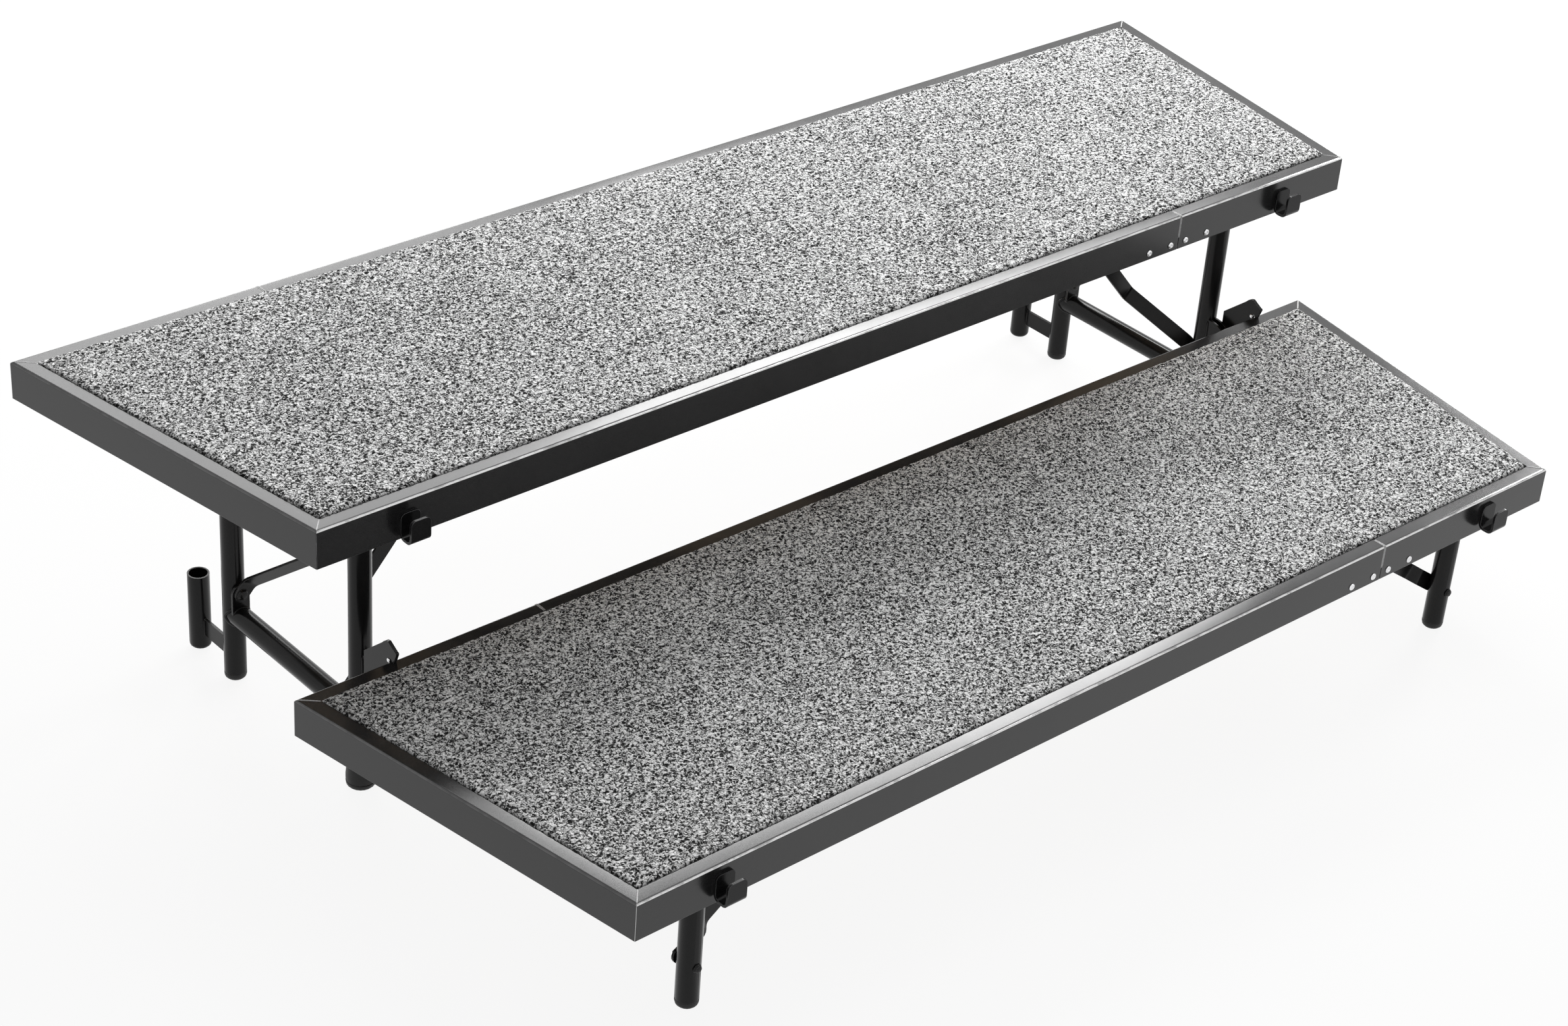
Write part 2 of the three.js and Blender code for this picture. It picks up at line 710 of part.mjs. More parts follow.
// Between the legs: a tube coped to both, with a tab and its brace bolt beside each leg
function crossbar(rearY, frontY) {
  const cope = tubeRadius + seatGap;
  const bar = rodY(tubeRadius, frontY, rearY, 0, crossbarZ, facets.tube);
  const [from, to] = [frontY - cutOverrun, rearY + cutOverrun];
  const bore = rodY(tubeRadius - tubeWall, from, to, 0, crossbarZ, facets.tube);
  const tube = cut(bar, bore);
  const pieces = [tube];
  for (const [legY, way] of [[rearY, -1], [frontY, 1]]) {
    const near = legY + way * (tubeRadius + tabGap);
    const far = near + way * tabThickness;
    const ear = new THREE.Shape();
    const shoulder = crossbarZ + tubeRadius / 2;
    ear.moveTo(-tabHalfWidth, shoulder);
    ear.lineTo(tabHalfWidth, shoulder);
    ear.lineTo(tabHalfWidth, braceBoltZ);
    ear.absarc(0, braceBoltZ, tabHalfWidth, 0, Math.PI, false);
    ear.closePath();
    pieces.push(alongY(ear, Math.min(near, far), Math.max(near, far)));
    pieces.push(
      headedRod({
        radius: boltRadius,
        from: (near + far) / 2,
        seat: far + way * (seatGap + barThickness + seatGap),
        headRadius: boltHeadRadius,
        headHeight: boltHeadHeight,
        x: 0,
        z: braceBoltZ,
        count: facets.bolt,
      }),
    );
  }
  const coped = [rearY, frontY].map((y) =>
    turned([[0, 0], [cope, 0], [cope, upperHeight], [0, upperHeight]], 0, y),
  );
  // The tabs hug the legs, so the whole piece is cut by both legs with their clearance, and
  // the bore of the tube is opened again where tab metal crossed it
  return cut(join(...pieces), ...coped, bore);
}

const socketY = -50; // from the deck's rear edge
const socketTop = 99.4;
const socketBottom = 2;
const socketWall = 2;
const socketFloor = 8;
const webBottom = 22;
const webTop = 44;
const webThickness = 3.5;

// Guard-rail socket: an open tube with a rounded closed end, on a flat plate from the rear leg
function railSocket(legY) {
  const inner = tubeRadius - socketWall;
  const profile = roundedBottom(tubeRadius, socketBottom);
  profile.push([tubeRadius, socketTop], [inner, socketTop], [inner, socketFloor], [0, socketFloor]);
  const cup = turned(profile, 0, socketY);
  const plateEnd = socketY - inner - socketWall / 2;
  const plate = block(-webThickness / 2, webThickness / 2, legY, plateEnd, webBottom, webTop);
  const cope = tubeRadius + seatGap;
  const leg = turned([[0, 0], [cope, 0], [cope, upperHeight], [0, upperHeight]], 0, legY);
  return cup.add(cut(plate, leg));
}

// Link between the decks: pins on the front legs, hangers on the lower rear rail

const pinAheadOfLeg = 35; // pin axis in front of the front leg's axis
const pinDrop = 43.2; // pin axis below the lower rim
const pinZ = lowerHeight - pinDrop;
const linkPinRadius = 4.5;
const linkCheekThickness = 3;
const innerCheekX = 5; // inner face of the inboard cheek, inboard of the leg's axis
const outerCheekX = 2.3; // inner face of the outboard cheek, outboard of the axis
const linkCheekReach = 16; // above and below the pin, at the leg
const linkCheekRadius = 9;
const linkCheekTurn = Math.PI * 0.75; // where the nose's round ends
const linkCheekCurveShare = 1.6; // of the nose radius, where the upper edge bends level
const hangerX = 6.1; // hanger's inboard face, outboard of the upper leg's axis
const hangerThickness = 4;
const pinTail = 6; // pin past the hanger

function linkBracket(side, legY) {
  const pinY = legY - pinAheadOfLeg;
  const [bottom, top] = [pinZ - linkCheekReach, pinZ + linkCheekReach];
  const bend = pinY + linkCheekRadius * linkCheekCurveShare;
  const plate = new THREE.Shape();
  plate.moveTo(legY, bottom);
  plate.lineTo(pinY, pinZ - linkCheekRadius);
  plate.absarc(pinY, pinZ, linkCheekRadius, -Math.PI / 2, linkCheekTurn, true);
  plate.lineTo(pinY + linkCheekRadius, top - linkPinRadius / 2);
  plate.quadraticCurveTo(bend, top, legY - tubeRadius, top);
  plate.lineTo(legY, top);
  plate.closePath();
  const span = (near, far) => [Math.min(side * near, side * far), Math.max(side * near, side * far)];
  const inboard = alongX(plate, ...span(-innerCheekX, -innerCheekX - linkCheekThickness));
  const outboard = alongX(plate, ...span(outerCheekX, outerCheekX + linkCheekThickness));
  const end = hangerX + hangerThickness + pinTail;
  const pin = rodX(linkPinRadius, ...span(-innerCheekX - linkCheekThickness, end), pinY, pinZ, facets.bolt);
  const cope = tubeRadius + seatGap;
  const leg = turned([[0, 0], [cope, 0], [cope, upperHeight], [0, upperHeight]], 0, legY);
  return cut(join(inboard, outboard, pin), leg);
}

// Heights of the hanger's corners: above the lower rim, and above or below the pin
const hangerRise = 21.8;
const hangerShoulderRise = 15.8;
const hangerNoseRise = 14.8;
const hangerTail = 13;
const hangerBackRise = 30; // the back edge is straight up to here above the pin
const hangerNose = 10; // past the rail's outer face, over the rim
const hangerJaw = 9; // metal behind the pin

// A plate notched over the rear rail's upper edge, with a downward slot that drops on the pin
function hanger(side, lower) {
  const railY = lower.y - rearEdge;
  const pinY = -frontLegInset - pinAheadOfLeg;
  const back = pinY + linkPinRadius + hangerJaw;
  const face = railY + seatGap;
  const rim = lower.height + seatGap;
  const bottom = pinZ - hangerTail;
  const top = lower.height + hangerRise;
  const noseTop = lower.height + hangerNoseRise;
  const nose = railY - hangerNose;
  const soft = linkPinRadius / 2;
  const plate = new THREE.Shape();
  plate.moveTo(back, bottom);
  plate.lineTo(back, pinZ + hangerBackRise);
  plate.lineTo(railY + hangerNose + linkPinRadius, lower.height + hangerShoulderRise);
  plate.quadraticCurveTo(railY + hangerNose, top, railY + linkPinRadius, top);
  plate.lineTo(nose + soft, noseTop);
  plate.quadraticCurveTo(nose, noseTop, nose, noseTop - soft);
  plate.lineTo(nose + linkPinRadius, rim);
  plate.lineTo(face, rim);
  plate.lineTo(face, pinZ);
  plate.lineTo(pinY - linkPinRadius - hangerJaw, bottom);
  plate.closePath();
  const slotEnd = bottom - linkPinRadius - cutOverrun;
  const slot = stadium(pinY, pinZ, pinY, slotEnd, linkPinRadius + seatGap);
  const relief = new THREE.Shape();
  relief.absarc(face, rim, rimRadius, 0, Math.PI * 2, false);
  const near = side * hangerX;
  const far = side * (hangerX + hangerThickness);
  const [from, to] = [Math.min(near, far), Math.max(near, far)];
  const body = alongX(plate, from, to);
  const cutters = [slot, relief].map((shape) => alongX(shape, from - cutOverrun, to + cutOverrun));
  return cut(body, ...cutters);
}

// Braces

const barWidth = 19;
const lowerBarWidth = 19.5;
const wishboneFoot = 15; // straight stretch past the bolt before the first bend
const wishboneSpreadShare = 1.047; // length of an arm's sideways stretch, of its sideways move
const bendLength = 5; // how much of each side of a bend is rounded
const joggleStart = 32;
const joggleRun = 9;
const studHeadRadius = 6;
const studHeadHeight = 2.5;

// The bar's side view: a line of given points with rounded bends, given its thickness
function barSection(corners) {
  const path = new THREE.Path();
  path.moveTo(corners[0].x, corners[0].y);
  for (let i = 1; i + 1 < corners.length; i += 1) {
    const toward = corners[i - 1].clone().sub(corners[i]).setLength(bendLength).add(corners[i]);
    const away = corners[i + 1].clone().sub(corners[i]).setLength(bendLength).add(corners[i]);
    path.lineTo(toward.x, toward.y);
    path.quadraticCurveTo(corners[i].x, corners[i].y, away.x, away.y);
  }
  const end = corners[corners.length - 1];
  path.lineTo(end.x, end.y);
  const line = path.getPoints(facets.bend);
  const half = barThickness / 2;
  const offset = (way) =>
    line.map((point, i) => {
      const before = line[i - 1] ?? point.clone().multiplyScalar(2).sub(line[i + 1]);
      const after = line[i + 1] ?? point.clone().multiplyScalar(2).sub(line[i - 1]);
      return point.clone().addScaledVector(mitre(before, point, after), way * half);
    });
  return new THREE.Shape([...offset(-1), ...offset(1).reverse()]);
}

// A flat bar from a bolt hole at the origin to a stud at its far end. It is made lying along x
// with its bends in y, then turned to its slope: sloping up inboard, with y towards "toward".
function brace({ length, corners, width, studWay, slope, side, toward, at }) {
  const half = width / 2;
  const section = barSection(corners);
  const strip = alongZ(section, -half, half);
  const reach = Math.max(...corners.map((corner) => corner.y)) + barThickness + cutOverrun;
  const face = alongY(stadium(0, 0, length, 0, half), -reach, reach);
  const hole = rodY(boltHole, -reach, reach, 0, 0, facets.bolt);
  const top = corners[corners.length - 1].y;
  const inner = top + studWay * (barThickness / 2 + studReach);
  const stud = headedRod({
    radius: studRadius,
    from: inner,
    seat: top - (studWay * barThickness) / 4,
    headRadius: studHeadRadius,
    headHeight: barThickness / 4 + studHeadHeight,
    x: length,
    z: 0,
    count: facets.bolt,
  });
  const bar = join(cut(strip.intersect(face), hole), stud);
  const along = new THREE.Vector3(-side * Math.cos(slope), 0, Math.sin(slope));
  const across = new THREE.Vector3(0, toward, 0);
  const up = new THREE.Vector3().crossVectors(along, across);
  const turn = new THREE.Matrix4().makeBasis(along, across, up).setPosition(at);
  return bar.transform(turn.elements);
}

// Each arm starts beside its tab and moves towards the middle of the leg set
function wishboneArm(side, legY, toward) {
  const start = tubeRadius + tabGap + tabThickness + seatGap + barThickness / 2;
  const shift = (frontLegInset - rearLegInset) / 2 - start - wishboneHalfSpan;
  const length = upperBrace.length;
  const end = length + barWidth;
  return brace({
    length,
    corners: [
      new THREE.Vector2(-barWidth, 0),
      new THREE.Vector2(wishboneFoot, 0),
      new THREE.Vector2(wishboneFoot + shift * wishboneSpreadShare, shift),
      new THREE.Vector2(end, shift),
    ],
    width: barWidth,
    studWay: 1,
    slope: upperArmAngle,
    side,
    toward,
    at: new THREE.Vector3(0, legY + toward * start, braceBoltZ),
  });
}

// One joggled bar behind each lower leg, on the leg's through bolt
function joggledBar(side, legY) {
  const start = tubeRadius + seatGap + barThickness / 2;
  const length = lowerBrace.length;
  return brace({
    length,
    corners: [
      new THREE.Vector2(-lowerBarWidth, 0),
      new THREE.Vector2(joggleStart, 0),
      new THREE.Vector2(joggleStart + joggleRun, joggleShift),
      new THREE.Vector2(length + lowerBarWidth, joggleShift),
    ],
    width: lowerBarWidth,
    studWay: 1,
    slope: lowerBarAngle,
    side,
    toward: 1,
    at: new THREE.Vector3(0, legY + start, lowerBoltZ),
  });
}

const throughBoltHeadRadius = 5.5;
const throughBoltHeadHeight = 3.5;
const nutRadius = 6.5;
const nutHeight = 6;
const nutSides = 6;

// Through bolt: domed head on the leg's front, shank through leg and brace, capped nut behind
function throughBolt(legY) {
  const front = legY - tubeRadius - seatGap;
  const back = legY + tubeRadius + seatGap + barThickness + seatGap;
  const middle = (front + back) / 2;
  const shared = { radius: boltRadius, x: 0, z: lowerBoltZ, count: facets.bolt };
  const head = { seat: front, headRadius: throughBoltHeadRadius, headHeight: throughBoltHeadHeight };
  const cap = { seat: back, headRadius: nutRadius * Math.cos(Math.PI / nutSides), headHeight: nutHeight };
  const nut = rodY(nutRadius, back, back + nutHeight / 2, 0, lowerBoltZ, nutSides);
  const frontHalf = headedRod({ ...shared, ...head, from: middle + boltRadius });
  const rearHalf = headedRod({ ...shared, ...cap, from: middle - boltRadius });
  return join(frontHalf, rearHalf, nut);
}

function upperLegSet(sideName, side) {
  const group = new THREE.Group();
  group.position.set(side * upperLegX, rearEdge, 0);
  const name = `upper_${sideName}`;
  const hingeZ = upperHeight - hingeDrop;
  const [rearY, frontY] = [-rearLegInset, -frontLegInset];
  addPiece(group, `${name}_rear_leg`, legTube(footHeight + seatGap, hingeZ, 0, rearY), blackSteel);
  addPiece(group, `${name}_front_leg`, legTube(bootFloor + seatGap, hingeZ, 0, frontY), blackSteel);
  addPiece(group, `${name}_rear_foot`, footCap(0, rearY), rubber);
  addPiece(group, `${name}_front_foot`, footBoot(0, frontY), rubber);
  addPiece(group, `${name}_crossbar`, crossbar(rearY, frontY), blackSteel);
  addPiece(group, `${name}_rail_socket`, railSocket(rearY), blackSteel);
  addPiece(group, `${name}_link_bracket`, linkBracket(side, frontY), blackSteel);
  addPiece(group, `${name}_rear_brace_arm`, wishboneArm(side, rearY, -1), blackSteel);
  addPiece(group, `${name}_front_brace_arm`, wishboneArm(side, frontY, 1), blackSteel);
  return group;
}

function lowerLeg(sideName, side) {
  const group = new THREE.Group();
  group.position.set(decks.lower.x + side * lowerLegX, decks.lower.y, 0);
  const name = `lower_${sideName}`;
  const legY = -deckDepth + lowerLegInset;
  const tube = legTube(footHeight + seatGap, lowerHeight - hingeDrop, 0, legY);
  const reach = tubeRadius + cutOverrun;
  const hole = rodY(boltHole, legY - reach, legY + reach, 0, lowerBoltZ, facets.bolt);
  addPiece(group, `${name}_leg`, cut(tube, hole), blackSteel);
  addPiece(group, `${name}_foot`, footCap(0, legY), rubber);
  addPiece(group, `${name}_brace_bolt`, throughBolt(legY), zincSteel);
  addPiece(group, `${name}_brace`, joggledBar(side, legY), blackSteel);
  return group;
}

const riser = new THREE.Group();
const upperDeck = deckPieces(decks.upper, 'upper');
const lowerDeck = deckPieces(decks.lower, 'lower');
riser.add(upperDeck, lowerDeck);

for (const [sideName, side] of Object.entries(sides)) {
  hingeBracket(upperDeck, `upper_${sideName}_rear_hinge`, side * upperLegX, -rearLegInset, bracketFlange);
  hingeBracket(upperDeck, `upper_${sideName}_front_hinge`, side * upperLegX, -frontLegInset, bracketFlange);
  hingeBracket(lowerDeck, `lower_${sideName}_hinge`, side * lowerLegX, -deckDepth + lowerLegInset, 0);
  upperTrack(upperDeck, `upper_${sideName}_brace_track`, side);
  lowerTrack(lowerDeck, `lower_${sideName}_brace_track`, side);
  riser.add(upperLegSet(sideName, side), lowerLeg(sideName, side));
  const hangers = new THREE.Group();
  hangers.position.set(side * upperLegX, rearEdge, 0);
  addPiece(hangers, `lower_${sideName}_hanger`, hanger(side, decks.lower), blackSteel);
  riser.add(hangers);
}

export default riser;
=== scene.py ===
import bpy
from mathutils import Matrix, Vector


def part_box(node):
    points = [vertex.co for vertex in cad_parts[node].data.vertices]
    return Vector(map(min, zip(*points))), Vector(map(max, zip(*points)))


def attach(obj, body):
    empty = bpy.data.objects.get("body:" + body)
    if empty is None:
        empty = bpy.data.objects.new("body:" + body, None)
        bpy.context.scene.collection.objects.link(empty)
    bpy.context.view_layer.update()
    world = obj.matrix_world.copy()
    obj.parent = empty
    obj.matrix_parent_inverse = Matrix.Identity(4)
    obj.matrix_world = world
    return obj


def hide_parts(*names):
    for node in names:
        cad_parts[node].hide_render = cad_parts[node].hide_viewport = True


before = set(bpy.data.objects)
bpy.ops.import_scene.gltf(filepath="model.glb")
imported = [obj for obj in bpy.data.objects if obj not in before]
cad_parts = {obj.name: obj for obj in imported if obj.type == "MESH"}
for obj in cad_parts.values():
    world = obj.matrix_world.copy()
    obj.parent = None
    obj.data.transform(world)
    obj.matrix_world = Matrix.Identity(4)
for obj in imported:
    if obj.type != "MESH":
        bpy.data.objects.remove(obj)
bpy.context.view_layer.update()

import math

import bmesh
import bpy
import numpy as np
from mathutils import Matrix, Vector

scene = bpy.context.scene
scene.view_settings.view_transform = "Standard"
mm = 0.001
levels = ("upper", "lower")
print("frame loaded:", len(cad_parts), "nodes")

cameraValues = {
    "place": (-2.20548, -2.20253, 2.08263),
    "heading": 43.1008,  # degrees from +Y towards +X
    "drop": 31.8745,     # degrees below level
    "roll": 4.4182,      # right side of the camera up
    "lens": 73.048,
    "film": 36.0,
    "farthest": 100.0,
}


# Heading and drop give the way it looks, and the picture is then rolled about that
def makeCamera(values):
    heading, drop, roll = (math.radians(values[key]) for key in ("heading", "drop", "roll"))
    forward = Vector((
        math.cos(drop) * math.sin(heading), math.cos(drop) * math.cos(heading), -math.sin(drop)))
    aside = Vector((math.cos(heading), -math.sin(heading), 0))
    above = aside.cross(forward)
    right = aside * math.cos(roll) + above * math.sin(roll)
    up = above * math.cos(roll) - aside * math.sin(roll)
    data = bpy.data.cameras.new("photoCamera")
    data.lens = values["lens"]
    data.sensor_width = values["film"]
    data.sensor_fit = "HORIZONTAL"
    data.clip_end = values["farthest"]
    camera = bpy.data.objects.new("photoCamera", data)
    turn = Matrix((right, up, -forward)).transposed().to_4x4()
    camera.matrix_world = Matrix.Translation(values["place"]) @ turn
    scene.collection.objects.link(camera)
    scene.camera = camera


makeCamera(cameraValues)
print("camera placed")


# Inputs are set by name or number, and a socket given as a value is linked
def setInputs(tree, node, inputs):
    for name, value in inputs.items():
        if isinstance(value, bpy.types.NodeSocket):
            tree.links.new(value, node.inputs[name])
        else:
            node.inputs[name].default_value = value


def addNode(tree, kind, inputs=None, **settings):
    node = tree.nodes.new(kind)
    for name, value in settings.items():
        setattr(node, name, value)
    setInputs(tree, node, inputs or {})
    return node


# An empty shader group with float inputs and typed outputs, and its two end nodes
def newGroup(name, inputs, outputs):
    group = bpy.data.node_groups.new(name, "ShaderNodeTree")
    interface = group.interface
    for label, value in inputs.items():
        socket = interface.new_socket(name=label, in_out="INPUT", socket_type="NodeSocketFloat")
        socket.default_value = value
    for label, kind in outputs.items():
        interface.new_socket(name=label, in_out="OUTPUT", socket_type=kind)
    return group, group.nodes.new("NodeGroupInput"), group.nodes.new("NodeGroupOutput")


def placeGroup(tree, group, inputs=None):
    return addNode(tree, "ShaderNodeGroup", inputs, node_tree=group).outputs


# A colour ramp; stops are (place, grey)
def ramp(tree, source, stops):
    node = addNode(tree, "ShaderNodeValToRGB", {"Fac": source})
    elements = node.color_ramp.elements
    while len(elements) < len(stops):
        elements.new(0.5)
    for element, (place, grey) in zip(elements, stops):
        element.position = place
        element.color = (grey, grey, grey, 1)
    return node.outputs["Color"]


def calculate(tree, operation, a, b, clamp=False):
    inputs = {0: a, 1: b}
    node = addNode(tree, "ShaderNodeMath", inputs, operation=operation, use_clamp=clamp)
    return node.outputs[0]


def remap(tree, value, fromLow, fromHigh, toLow=0.0, toHigh=1.0):
    return addNode(tree, "ShaderNodeMapRange", {
        "Value": value, "From Min": fromLow, "From Max": fromHigh,
        "To Min": toLow, "To Max": toHigh,
    }).outputs["Result"]


def objectNoise(tree, scale, detail, roughness, distortion=0.0):
    coords = addNode(tree, "ShaderNodeTexCoord").outputs["Object"]
    return addNode(tree, "ShaderNodeTexNoise", {
        "Vector": coords, "Scale": scale, "Detail": detail,
        "Roughness": roughness, "Distortion": distortion,
    }).outputs["Fac"]


# A normal bumped by this height; a height of 1 stands "distance" metres out
def bumped(tree, height, distance, normal=None):
    inputs = {"Strength": 1.0, "Distance": distance, "Height": height}
    if normal:
        inputs["Normal"] = normal
    return addNode(tree, "ShaderNodeBump", inputs).outputs["Normal"]


def mixColours(tree, factor, first, second):
    first, second = (colour if isinstance(colour, bpy.types.NodeSocket) else (*colour, 1)
                     for colour in (first, second))
    inputs = {0: factor, 6: first, 7: second}
    return addNode(tree, "ShaderNodeMix", inputs, data_type="RGBA").outputs[2]


def newMaterial(name):
    material = bpy.data.materials.new(name)
    material.use_nodes = True
    tree = material.node_tree
    tree.nodes.clear()
    surface = addNode(tree, "ShaderNodeBsdfPrincipled")
    addNode(tree, "ShaderNodeOutputMaterial", {"Surface": surface.outputs["BSDF"]})
    return material, tree, surface


effectValues = {
    "bevelSamples": 4,
    "edgeMatch": (0.99, 0.90),   # cosine of the bevel's turn where the mask starts and is full
    "edgePatches": [(0.38, 0.25), (0.62, 1.0)],
    "dustPatches": [(0.42, 0.0), (0.75, 1.0)],
    # the next three shape the painted highlight line along the rails' bend
    "paintedHighlightFront": -1.4,         # times the normal's y, so that front edges count fully
    "paintedHighlightSize": 60.0,
    "paintedHighlightPatches": [(0.34, 0.55), (0.56, 1.0)],
}


# Rounded edges, and a mask of where they are: the bevelled normal against the plain one, in
# patches. The paints lighten the edges by this mask, as worn paint in part and as painted highlight
# in part
def makeEdgeGroup(values):
    group, start, end = newGroup(
        "roundedEdges",
        {"Radius": 0.0008, "Wear Size": 90.0},
        {"Normal": "NodeSocketVector", "Edge Wear And Highlight": "NodeSocketFloat"},
    )
    bevel = addNode(group, "ShaderNodeBevel", {"Radius": start.outputs["Radius"]},
                    samples=values["bevelSamples"]).outputs["Normal"]
    plain = addNode(group, "ShaderNodeNewGeometry").outputs["Normal"]
    match = addNode(group, "ShaderNodeVectorMath", {0: bevel, 1: plain}, operation="DOT_PRODUCT")
    where = remap(group, match.outputs["Value"], *values["edgeMatch"])
    patches = objectNoise(group, start.outputs["Wear Size"], detail=3.0, roughness=0.5)
    wearAndHighlightPatches = ramp(group, patches, values["edgePatches"])
    mask = calculate(group, "MULTIPLY", where, wearAndHighlightPatches, clamp=True)
    setInputs(group, end, {"Normal": bevel, "Edge Wear And Highlight": mask})
    return group


# Fine powder-coat grain, and slow patches for roughness and tone
def makeGrainGroup():
    group, start, end = newGroup(
        "paintGrain",
        {"Grain Size": 1300.0, "Patch Size": 7.0},
        {"Grain": "NodeSocketFloat", "Patches": "NodeSocketFloat"},
    )
    grain = objectNoise(group, start.outputs["Grain Size"], detail=2.0, roughness=0.55)
    patches = objectNoise(group, start.outputs["Patch Size"], detail=4.0, roughness=0.6)
    setInputs(group, end, {"Grain": grain, "Patches": patches})
    return group


# Dust: upward faces gather a little, in soft patches
def makeDustGroup(values):
    group, start, end = newGroup("settledDust", {"Size": 30.0}, {"Dust": "NodeSocketFloat"})
    plain = addNode(group, "ShaderNodeNewGeometry").outputs["Normal"]
    normal = addNode(group, "ShaderNodeSeparateXYZ", {"Vector": plain}).outputs
    upward = calculate(group, "MULTIPLY", normal["Z"], 1.0, clamp=True)
    cloud = objectNoise(group, start.outputs["Size"], detail=5.0, roughness=0.65)
    patches = ramp(group, cloud, values["dustPatches"])
    dust = calculate(group, "MULTIPLY", upward, patches, clamp=True)
    setInputs(group, end, {"Dust": dust})
    return group


# A painted highlight: a bright line along the bend of the rails, where the face's own normal is
# between two heights. Front edges get it fully and the others a little, in patches.
def makePaintedHighlightGroup(values):
    group, start, end = newGroup(
        "paintedHighlightLine",
        {"Lowest": 0.20, "Highest": 0.86, "Elsewhere": 0.12},
        {"Painted Highlight": "NodeSocketFloat"},
    )
    face = addNode(group, "ShaderNodeNewGeometry").outputs["True Normal"]
    normal = addNode(group, "ShaderNodeSeparateXYZ", {"Vector": face}).outputs
    above = calculate(group, "GREATER_THAN", normal["Z"], start.outputs["Lowest"])
    below = calculate(group, "LESS_THAN", normal["Z"], start.outputs["Highest"])
    front = calculate(group, "MULTIPLY", normal["Y"], values["paintedHighlightFront"])
    front = calculate(group, "MAXIMUM", front, start.outputs["Elsewhere"])
    bend = calculate(group, "MULTIPLY", calculate(group, "MULTIPLY", above, below), front)
    cloud = objectNoise(group, values["paintedHighlightSize"], detail=4.0, roughness=0.6)
    patches = ramp(group, cloud, values["paintedHighlightPatches"])
    paintedHighlight = calculate(group, "MULTIPLY", bend, patches, clamp=True)
    setInputs(group, end, {"Painted Highlight": paintedHighlight})
    return group


edgeGroup = makeEdgeGroup(effectValues)
paintedHighlightGroup = makePaintedHighlightGroup(effectValues)
grainGroup = makeGrainGroup()
dustGroup = makeDustGroup(effectValues)

noiseSpan = (0.3, 0.7)  # the part of a noise's range that tone and roughness follow

# dark and light are the ends of the speckled tone, edge is the lighter edges' colour (worn paint in
# part, painted highlight in part), grain is specks per metre, gloss is the specular level, and the
# highlight value is the strength of the painted highlight line along the rails' bend
paintValues = {
    "framePaint": {
        "dark": (0.008, 0.008, 0.0083), "light": (0.030, 0.030, 0.0305),
        "edge": (0.20, 0.20, 0.205), "edgeRadius": 0.0008,
        "roughness": (0.16, 0.23), "grain": 1250.0, "grainHeight": 0.00002,
        "dust": (0.09, 0.09, 0.09), "dustShare": 0.12, "gloss": 0.5,
        # the rails' painted highlight line: its strength and its light grey tone
        "paintedHighlight": 0.9, "paintedHighlightTone": (0.80, 0.80, 0.80),
    },
    "blackPaint": {
        "dark": (0.003, 0.003, 0.0032), "light": (0.017, 0.017, 0.0175),
        "edge": (0.30, 0.30, 0.305), "edgeRadius": 0.0007,
        "roughness": (0.14, 0.24), "grain": 1500.0, "grainHeight": 0.000007,
        "dust": (0.07, 0.07, 0.07), "dustShare": 0.15, "gloss": 0.19, "paintedHighlight": 0.0,
    },
    # light grey beads and seam lines: worn paint in part, painted highlight in part
    "weldPaintAndHighlight": {
        "dark": (0.34, 0.34, 0.343), "light": (0.80, 0.80, 0.80),
        "edge": (0.8, 0.8, 0.8), "edgeRadius": 0.0004,
        "roughness": (0.25, 0.45), "grain": 1700.0, "grainHeight": 0.00006,
        "dust": (0.10, 0.10, 0.10), "dustShare": 0.1, "gloss": 0.5, "paintedHighlight": 0.0,
    },
    "rubberFeet": {
        "dark": (0.007, 0.007, 0.007), "light": (0.013, 0.013, 0.013),
        "edge": (0.03, 0.03, 0.03), "edgeRadius": 0.0009,
        "roughness": (0.38, 0.55), "grain": 1900.0, "grainHeight": 0.00004,
        "dust": (0.07, 0.07, 0.07), "dustShare": 0.2, "gloss": 0.3, "paintedHighlight": 0.0,
    },
}


# Speckled tone with lighter edges, worn paint in part and painted highlight in part, and dust.
# Rails also get a painted highlight line along their bend, light grey and metallic.
def makePaint(name, values):
    material, tree, surface = newMaterial(name)
    edges = placeGroup(tree, edgeGroup, {"Radius": values["edgeRadius"]})
    grain = placeGroup(tree, grainGroup, {"Grain Size": values["grain"]})
    dust = placeGroup(tree, dustGroup)
    speckle = ramp(tree, grain["Grain"], list(zip(noiseSpan, (0.0, 1.0))))
    spread = calculate(tree, "MULTIPLY", calculate(tree, "ADD", speckle, grain["Patches"]), 0.5)
    tone = mixColours(tree, spread, values["dark"], values["light"])
    # edges lightened: worn paint in part, painted highlight in part
    tone = mixColours(tree, edges["Edge Wear And Highlight"], tone, values["edge"])
    if values["paintedHighlight"]:
        # a painted highlight along the rails' bend, light grey and metallic
        paintedHighlight = placeGroup(tree, paintedHighlightGroup)["Painted Highlight"]
        paintedHighlightShare = calculate(tree, "MULTIPLY", paintedHighlight, values["paintedHighlight"])
        tone = mixColours(tree, paintedHighlightShare, tone, values["paintedHighlightTone"])
        setInputs(tree, surface, {"Metallic": paintedHighlightShare})
    dustHere = calculate(tree, "MULTIPLY", dust["Dust"], values["dustShare"])
    setInputs(tree, surface, {
        "Base Color": mixColours(tree, dustHere, tone, values["dust"]),
        "Roughness": remap(tree, grain["Patches"], *noiseSpan, *values["roughness"]),
        "Normal": bumped(tree, grain["Grain"], values["grainHeight"], edges["Normal"]),
        "Specular IOR Level": values["gloss"],
    })
    return material


